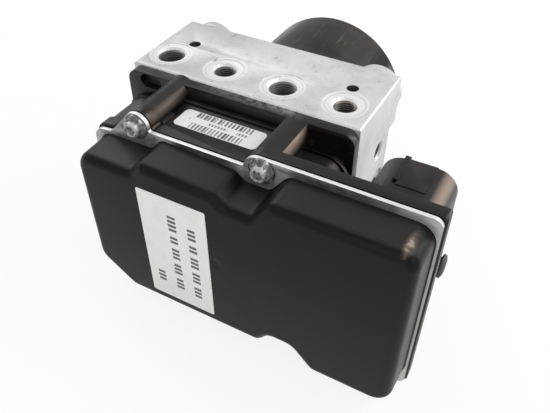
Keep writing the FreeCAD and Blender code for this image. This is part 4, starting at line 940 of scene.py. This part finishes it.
@dataclass
class ValveBlock:
    """The machined block, its ports and the balls that close its drillings."""

    outlets: PortRow = PortRow()
    inlet_x: float = 39.6
    inlet_y: float = 25.0
    inlet_z: float = 78.2
    wide: float = 5.45
    narrow: float = 4.45
    lead_in: float = 1.4
    edge: float = 0.25

    def build(self) -> None:
        """Dresses the block and threads its ports."""
        skin("valve_block", "module", MilledAluminium(self.outlets).make(), self.edge)
        skin("channel_balls", "module", PolishedBall().make())
        thread = Finish("thread_metal", tone(120, 116, 110), tone(74, 68, 62),
                        rough=0.4, metal=0.7, grain=0.6, bump=0.3).make()
        row = self.outlets
        for index in range(4):
            mouth = (row.centre + (index - 1.5) * row.pitch, row.y, row.top - self.lead_in)
            radius = self.narrow if index % 2 else self.wide
            PortThread(radius, mouth, Axis.UP).build(f"outlet_thread_{index + 1}", thread)
        for side, name in ((-1, "left"), (1, "right")):
            mouth = (side * self.inlet_x, self.inlet_y - self.lead_in, self.inlet_z)
            PortThread(self.wide, mouth, Axis.REAR).build(f"inlet_thread_{name}", thread)


@dataclass
class CoverScrew:
    """One screw head: washer flange, domed head and a worn six-lobe recess, in millimetres."""

    washer: float = 5.0
    washer_thickness: float = 1.2
    head: float = 3.1
    head_height: float = 2.8
    foot_room: float = 0.35
    cone: float = 0.55
    shoulder: float = 0.3
    crown: float = 0.65
    crown_share: float = 0.84
    crown_rim: float = 0.6
    recess: float = 2.05
    recess_depth: float = 1.7
    recess_taper: float = 0.88
    lobes: int = 6
    lobe_share: float = 0.8
    edge: float = 0.14

    def build(self, name: str, place: Place, direction: Axis,
              material: bpy.types.Material) -> bpy.types.Object:
        """Models the head.

        Args:
            name: the piece's name.
            place: centre of the face under the washer, in millimetres.
            direction: where the head points.
            material: its finish.

        Returns:
            The piece.
        """
        deselect()
        bpy.ops.mesh.primitive_cylinder_add(
            vertices=48, radius=self.washer * MM, depth=self.washer_thickness * MM,
            location=(0, 0, self.washer_thickness / 2 * MM))
        item = bpy.context.object
        item.name = name
        bpy.ops.object.transform_apply(location=True)
        bpy.ops.object.mode_set(mode="EDIT")
        barrel = self.head_height - 2 * self.crown
        pick(item, lambda centre, normal: normal.z > 0.9)
        bpy.ops.mesh.inset(thickness=(self.washer - self.head - self.foot_room) * MM)
        bpy.ops.transform.translate(value=(0, 0, self.cone * MM))
        bpy.ops.mesh.inset(thickness=self.shoulder * MM)
        bpy.ops.mesh.extrude_region_move(TRANSFORM_OT_translate={"value": (0, 0, barrel * MM)})
        bpy.ops.mesh.extrude_region_move(TRANSFORM_OT_translate={"value": (0, 0, self.crown * MM)})
        bpy.ops.transform.resize(value=(self.crown_share, self.crown_share, 1.0))
        bpy.ops.mesh.inset(thickness=self.crown_rim * MM)
        self._sink_recess(item, (self.washer_thickness + self.cone + barrel + self.crown - 0.01) * MM)
        bpy.ops.object.mode_set(mode="OBJECT")
        crease = math.radians(35)
        break_edges(item, self.edge, crease)
        bpy.ops.object.shade_smooth_by_angle(angle=crease)
        item.rotation_euler = direction.turn
        item.location = Vector(place) * MM
        settle(item)
        dress(item, material)
        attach(item, "module")
        return item

    def _sink_recess(self, item: bpy.types.Object, top: float) -> None:
        """Draws the top's inner ring inwards between the lobes and sinks the face in it.

        Args:
            item: the head, in edit mode.
            top: height just under the crown, in metres.
        """
        pick(item, lambda corner, normal: corner.z > top and corner.xy.length < self.recess * MM
             and math.cos(self.lobes * math.atan2(corner.y, corner.x)) < -0.2, faces=False)
        bpy.ops.transform.resize(value=(self.lobe_share, self.lobe_share, 1.0), center_override=(0, 0, 0))
        pick(item, lambda centre, normal: normal.z > 0.9 and centre.z > top
             and centre.xy.length < 0.2 * MM)
        bpy.ops.mesh.extrude_region_move(
            TRANSFORM_OT_translate={"value": (0, 0, -self.recess_depth * MM)})
        bpy.ops.transform.resize(
            value=(self.recess_taper, self.recess_taper, 1.0), center_override=(0, 0, 0))


@dataclass
class Motor:
    """The pump motor's can and its two fixing screws."""

    ear_x: float = 38.5
    ear_z: float = 17.0
    axis_z: float = 43.6
    flange_y: float = 23.5
    head_height: float = 3.6
    edge: float = 0.3

    def build(self, zinc: bpy.types.Material) -> None:
        """Dresses the can and models the screws.

        Args:
            zinc: finish of the screws.
        """
        skin("motor_can", "module", MotorCoat().make(), self.edge)
        for side, name in ((-1, "upper"), (1, "lower")):
            place = (side * self.ear_x, self.flange_y, self.axis_z - side * self.ear_z)
            screw = CoverScrew(head_height=self.head_height)
            item = screw.build(f"motor_screw_{name}", place, Axis.REAR, zinc)
            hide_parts("motor_screws")


@dataclass
class ControlUnit:
    """Housing, cover, screws, labels, connector and vent."""

    face_y: float = -52.0
    screws: tuple[Pair, ...] = ((-25.9, 84.0), (27.5, 84.0), (-40.5, 7.5), (41.8, 7.0))
    housing_edge: float = 0.3
    cover_edge: float = 0.12
    carrier_edge: float = 0.15
    vent_edge: float = 0.1

    def build(self, zinc: bpy.types.Material) -> None:
        """Dresses the shells and models the screw heads.

        Args:
            zinc: finish of the screws.
        """
        skin("ecu_housing", "module", MouldedPlastic("housing_plastic").make(), self.housing_edge)
        skin("ecu_cover", "module", CoatedSheet().make(), self.cover_edge)
        for number, (x, z) in enumerate(self.screws, start=1):
            item = CoverScrew().build(f"cover_screw_{number}", (x, self.face_y, z), Axis.FRONT, zinc)
            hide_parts("cover_screws")
        finish_nodes(["front_label"], LabelFilm("front_label_film", PrintKind.ROWS).make())
        # The bar label's film is painted darker than the front label's, painted shade that offsets the lamp
        # above it.
        finish_nodes(["bar_label"], LabelFilm("bar_label_film", PrintKind.BARS, tone(216, 215, 213)).make())
        carrier = MouldedPlastic("carrier_plastic", tone(58, 56, 54)).make()
        skin("pin_carrier", "module", carrier, self.carrier_edge)
        tin = Finish("tinned_pins", tone(186, 182, 170), tone(150, 142, 124), rough=0.3, metal=0.9).make()
        finish_nodes(["connector_pins"], tin)
        cap = Finish("vent_cap", tone(52, 50, 48), tone(40, 38, 37), rough=0.5, grain=0.3, bump=0.3).make()
        skin("vent_plug", "module", cap, self.vent_edge)


@dataclass
class ReturnSprings:
    """Coil springs, each as a piece with its own mesh, with sizes in millimetres."""

    pump_stroke: float = 1.6
    accumulator_travel: float = 6.0
    valve_lift: float = 0.4
    valve_seat: float = -18.0
    valve_rows: float = 20.0

    def _shorten(self, item: bpy.types.Object) -> None:
        """Gives one spring a mesh of its own.

        Args:
            item: the spring.
        """
        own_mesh(item)

    def build(self, steel: bpy.types.Material) -> None:
        """Dresses the springs and gives each a mesh of its own.

        Args:
            steel: their finish.
        """
        for side, outer in (("left", 0), ("right", 1)):
            name = f"pump_spring_{side}"
            self._shorten(skin(name, "module", steel))
            name = f"accumulator_spring_{side}"
            self._shorten(skin(name, "module", steel))
        self._part_valve_springs(steel)

    def _part_valve_springs(self, steel: bpy.types.Material) -> None:
        """Makes a piece of each valve spring and gives the inlet valves' springs meshes of their own.

        Args:
            steel: their finish.
        """
        activate(skin("valve_springs", "module", steel))
        bpy.ops.object.mode_set(mode="EDIT")
        bpy.ops.mesh.select_all(action="SELECT")
        bpy.ops.mesh.separate(type="LOOSE")
        bpy.ops.object.mode_set(mode="OBJECT")
        pieces = list(bpy.context.selected_objects)
        first = {item: item.data.vertices[0].co for item in pieces}
        pieces.sort(key=lambda item: (-round(first[item].z / (self.valve_rows * MM)), first[item].x))
        for number, item in enumerate(pieces):
            row, place = ("inlet", number + 1) if number < 4 else ("outlet", number - 3)
            item.name = f"{row}_valve_spring_{place}"
            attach(item, "module")
            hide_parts("valve_springs")
            if row == "inlet":
                self._shorten(item)


STEEL_PIECES = (
    "pump_sleeve", "pump_piston", "pump_plugs", "accumulator_piston", "accumulator_caps", "inlet_valve",
    "outlet_valve", "inlet_plunger", "outlet_plunger", "screw_bushes", "motor_shaft", "block_bearing",
    "can_bearing", "eccentric_bearing")


@dataclass
class InnerWorks:
    """Pieces inside the block, the motor and the control unit, with the finish of each."""

    steel: Finish = Finish("ground_steel", tone(168, 168, 166), tone(134, 132, 128),
                           rough=0.3, metal=0.9, grain=0.3, bump=0.1)
    others: tuple[tuple[Finish, tuple[str, ...]], ...] = (
        (Finish("core_iron", tone(70, 68, 66), tone(52, 48, 45),
                rough=0.5, metal=0.8, grain=0.25, bump=0.3),
         ("coil_yokes", "armature_core")),
        (Finish("lacquered_copper", tone(176, 98, 56), tone(140, 70, 38),
                rough=0.35, metal=0.8, grain=0.25, bump=0.5),
         ("solenoid_coils", "armature_windings", "commutator")),
        (Finish("seal_rubber", tone(34, 34, 34), tone(48, 46, 44), rough=0.7, grain=0.4, bump=0.2),
         ("housing_gasket", "cover_seal", "motor_gasket")),
        (Finish("ferrite", tone(62, 62, 64), tone(46, 46, 48), rough=0.6, metal=0.3, grain=0.4, bump=0.3),
         ("motor_magnets",)),
        (Finish("carbon", tone(50, 50, 52), tone(36, 36, 38), rough=0.5, metal=0.1, grain=0.3, bump=0.3),
         ("motor_brushes",)),
        (Finish("board_lacquer", tone(34, 92, 58), tone(28, 78, 50), rough=0.3, bump=0.1),
         ("circuit_board",)),
        (Finish("dark_plastic", tone(60, 60, 60), tone(48, 47, 46), rough=0.5, grain=0.4, bump=0.2),
         ("brush_plate", "board_parts", "motor_lead")))

    def build(self) -> None:
        """Gives each hidden piece its finish."""
        steel = self.steel.make()
        finish_nodes([name for name in frame["nodes"] if name.startswith(STEEL_PIECES)], steel)
        ReturnSprings().build(steel)
        for finish, names in self.others:
            finish_nodes(names, finish.make())


@dataclass(frozen=True)
class Lamp:
    """One soft square lamp: where it hangs and points, its side in metres and its watts."""

    name: str
    place: Place
    aim: Place
    size: float
    power: float

    def hang(self) -> None:
        """Adds the lamp to the scene."""
        data = bpy.data.lights.new(self.name, "AREA")
        data.size = self.size
        data.energy = self.power
        lamp = bpy.data.objects.new(self.name, data)
        lamp.location = self.place
        lamp.rotation_euler = (Vector(self.aim) - Vector(self.place)).to_track_quat("-Z", "Y").to_euler()
        bpy.context.scene.collection.objects.link(lamp)


@dataclass
class Studio:
    """Pale floor, soft light and the camera of the photograph."""

    camera_place: Place = (108.550, -193.017, 216.668)
    camera_turn: Place = (47.42355, -0.20528, 28.52005)
    lens: float = 40.436
    sensor: float = 36.0
    floor_size: float = 6.0
    floor_height: float = -0.0002
    floor_glow: float = 0.86
    light_level: float = 0.55
    seen_level: float = 1.0
    lamps: tuple[Lamp, ...] = (
        Lamp("key", (0.75, 0.35, 0.95), (0.0, 0.0, 0.05), 0.6, 7.0),
        Lamp("right_box", (0.50, 0.50, 0.22), (0.07, 0.0, 0.06), 0.28, 1.4),
        Lamp("corner_glint", (0.56, -0.25, 0.34), (0.09, -0.06, 0.08), 0.14, 0.35),
        Lamp("left_fill", (-0.8, 0.3, 0.8), (0.0, 0.0, 0.05), 0.7, 4.2),
        Lamp("front_fill", (0.1, -1.0, 0.5), (0.0, 0.0, 0.05), 0.7, 1.7))

    def _floor(self) -> None:
        """White floor that keeps a light shadow."""
        deselect()
        bpy.ops.mesh.primitive_plane_add(size=self.floor_size, location=(0, 0, self.floor_height))
        floor = bpy.context.object
        floor.name = "floor"
        look = Shading("floor_white")
        look.finish(look.mix(look.noise(40.0, 2.0), (0.86, 0.86, 0.86), (0.84, 0.84, 0.84)), 0.8)
        glow = look.node("ShaderNodeEmission", {}, {"Color": (1.0, 1.0, 1.0), "Strength": 1.0})
        path = look.node("ShaderNodeLightPath")
        seen = Signal(look, path.outputs["Is Camera Ray"]) + Signal(look, path.outputs["Is Glossy Ray"])
        blend = look.node("ShaderNodeMixShader", {}, {
            0: seen * self.floor_glow, 1: look.surface.outputs[0], 2: glow.outputs[0]})
        output = next(node for node in look.tree.nodes if node.type == "OUTPUT_MATERIAL")
        look.tree.links.new(blend.outputs[0], output.inputs["Surface"])
        dress(floor, look.material)

    def _world(self) -> None:
        """White surroundings that light the part more softly than the camera sees them."""
        world = bpy.data.worlds.new("studio")
        world.use_nodes = True
        tree = world.node_tree
        background = tree.nodes["Background"]
        background.inputs["Color"].default_value = (1.0, 1.0, 1.0, 1.0)
        path = tree.nodes.new("ShaderNodeLightPath")
        level = tree.nodes.new("ShaderNodeMapRange")
        level.inputs["To Min"].default_value = self.light_level
        level.inputs["To Max"].default_value = self.seen_level
        tree.links.new(path.outputs["Is Camera Ray"], level.inputs["Value"])
        tree.links.new(level.outputs[0], background.inputs["Strength"])
        bpy.context.scene.world = world

    def _camera(self) -> None:
        """Camera with the place and lens that fit the photograph."""
        data = bpy.data.cameras.new("photo_camera")
        data.lens = self.lens
        data.sensor_width = self.sensor
        data.clip_start = 0.01
        camera = bpy.data.objects.new("photo_camera", data)
        camera.location = Vector(self.camera_place) * MM
        camera.rotation_euler = [math.radians(angle) for angle in self.camera_turn]
        bpy.context.scene.collection.objects.link(camera)
        bpy.context.scene.camera = camera

    def build(self) -> None:
        """Sets up the stage."""
        self._floor()
        self._world()
        for lamp in self.lamps:
            lamp.hang()
        self._camera()
        bpy.context.scene.view_settings.view_transform = "Standard"


def main() -> None:
    """Builds the scene and reports each piece."""
    logging.basicConfig(level=logging.INFO, format="%(message)s")
    Studio().build()
    zinc = ZincPlate().make()
    ValveBlock().build()
    Motor().build(zinc)
    ControlUnit().build(zinc)
    InnerWorks().build()
    deselect()
    for item in bpy.data.objects:
        if item.type == "MESH":
            LOG.info("%s: %d faces", item.name, len(item.data.polygons))


if __name__ == "__main__":
    main()
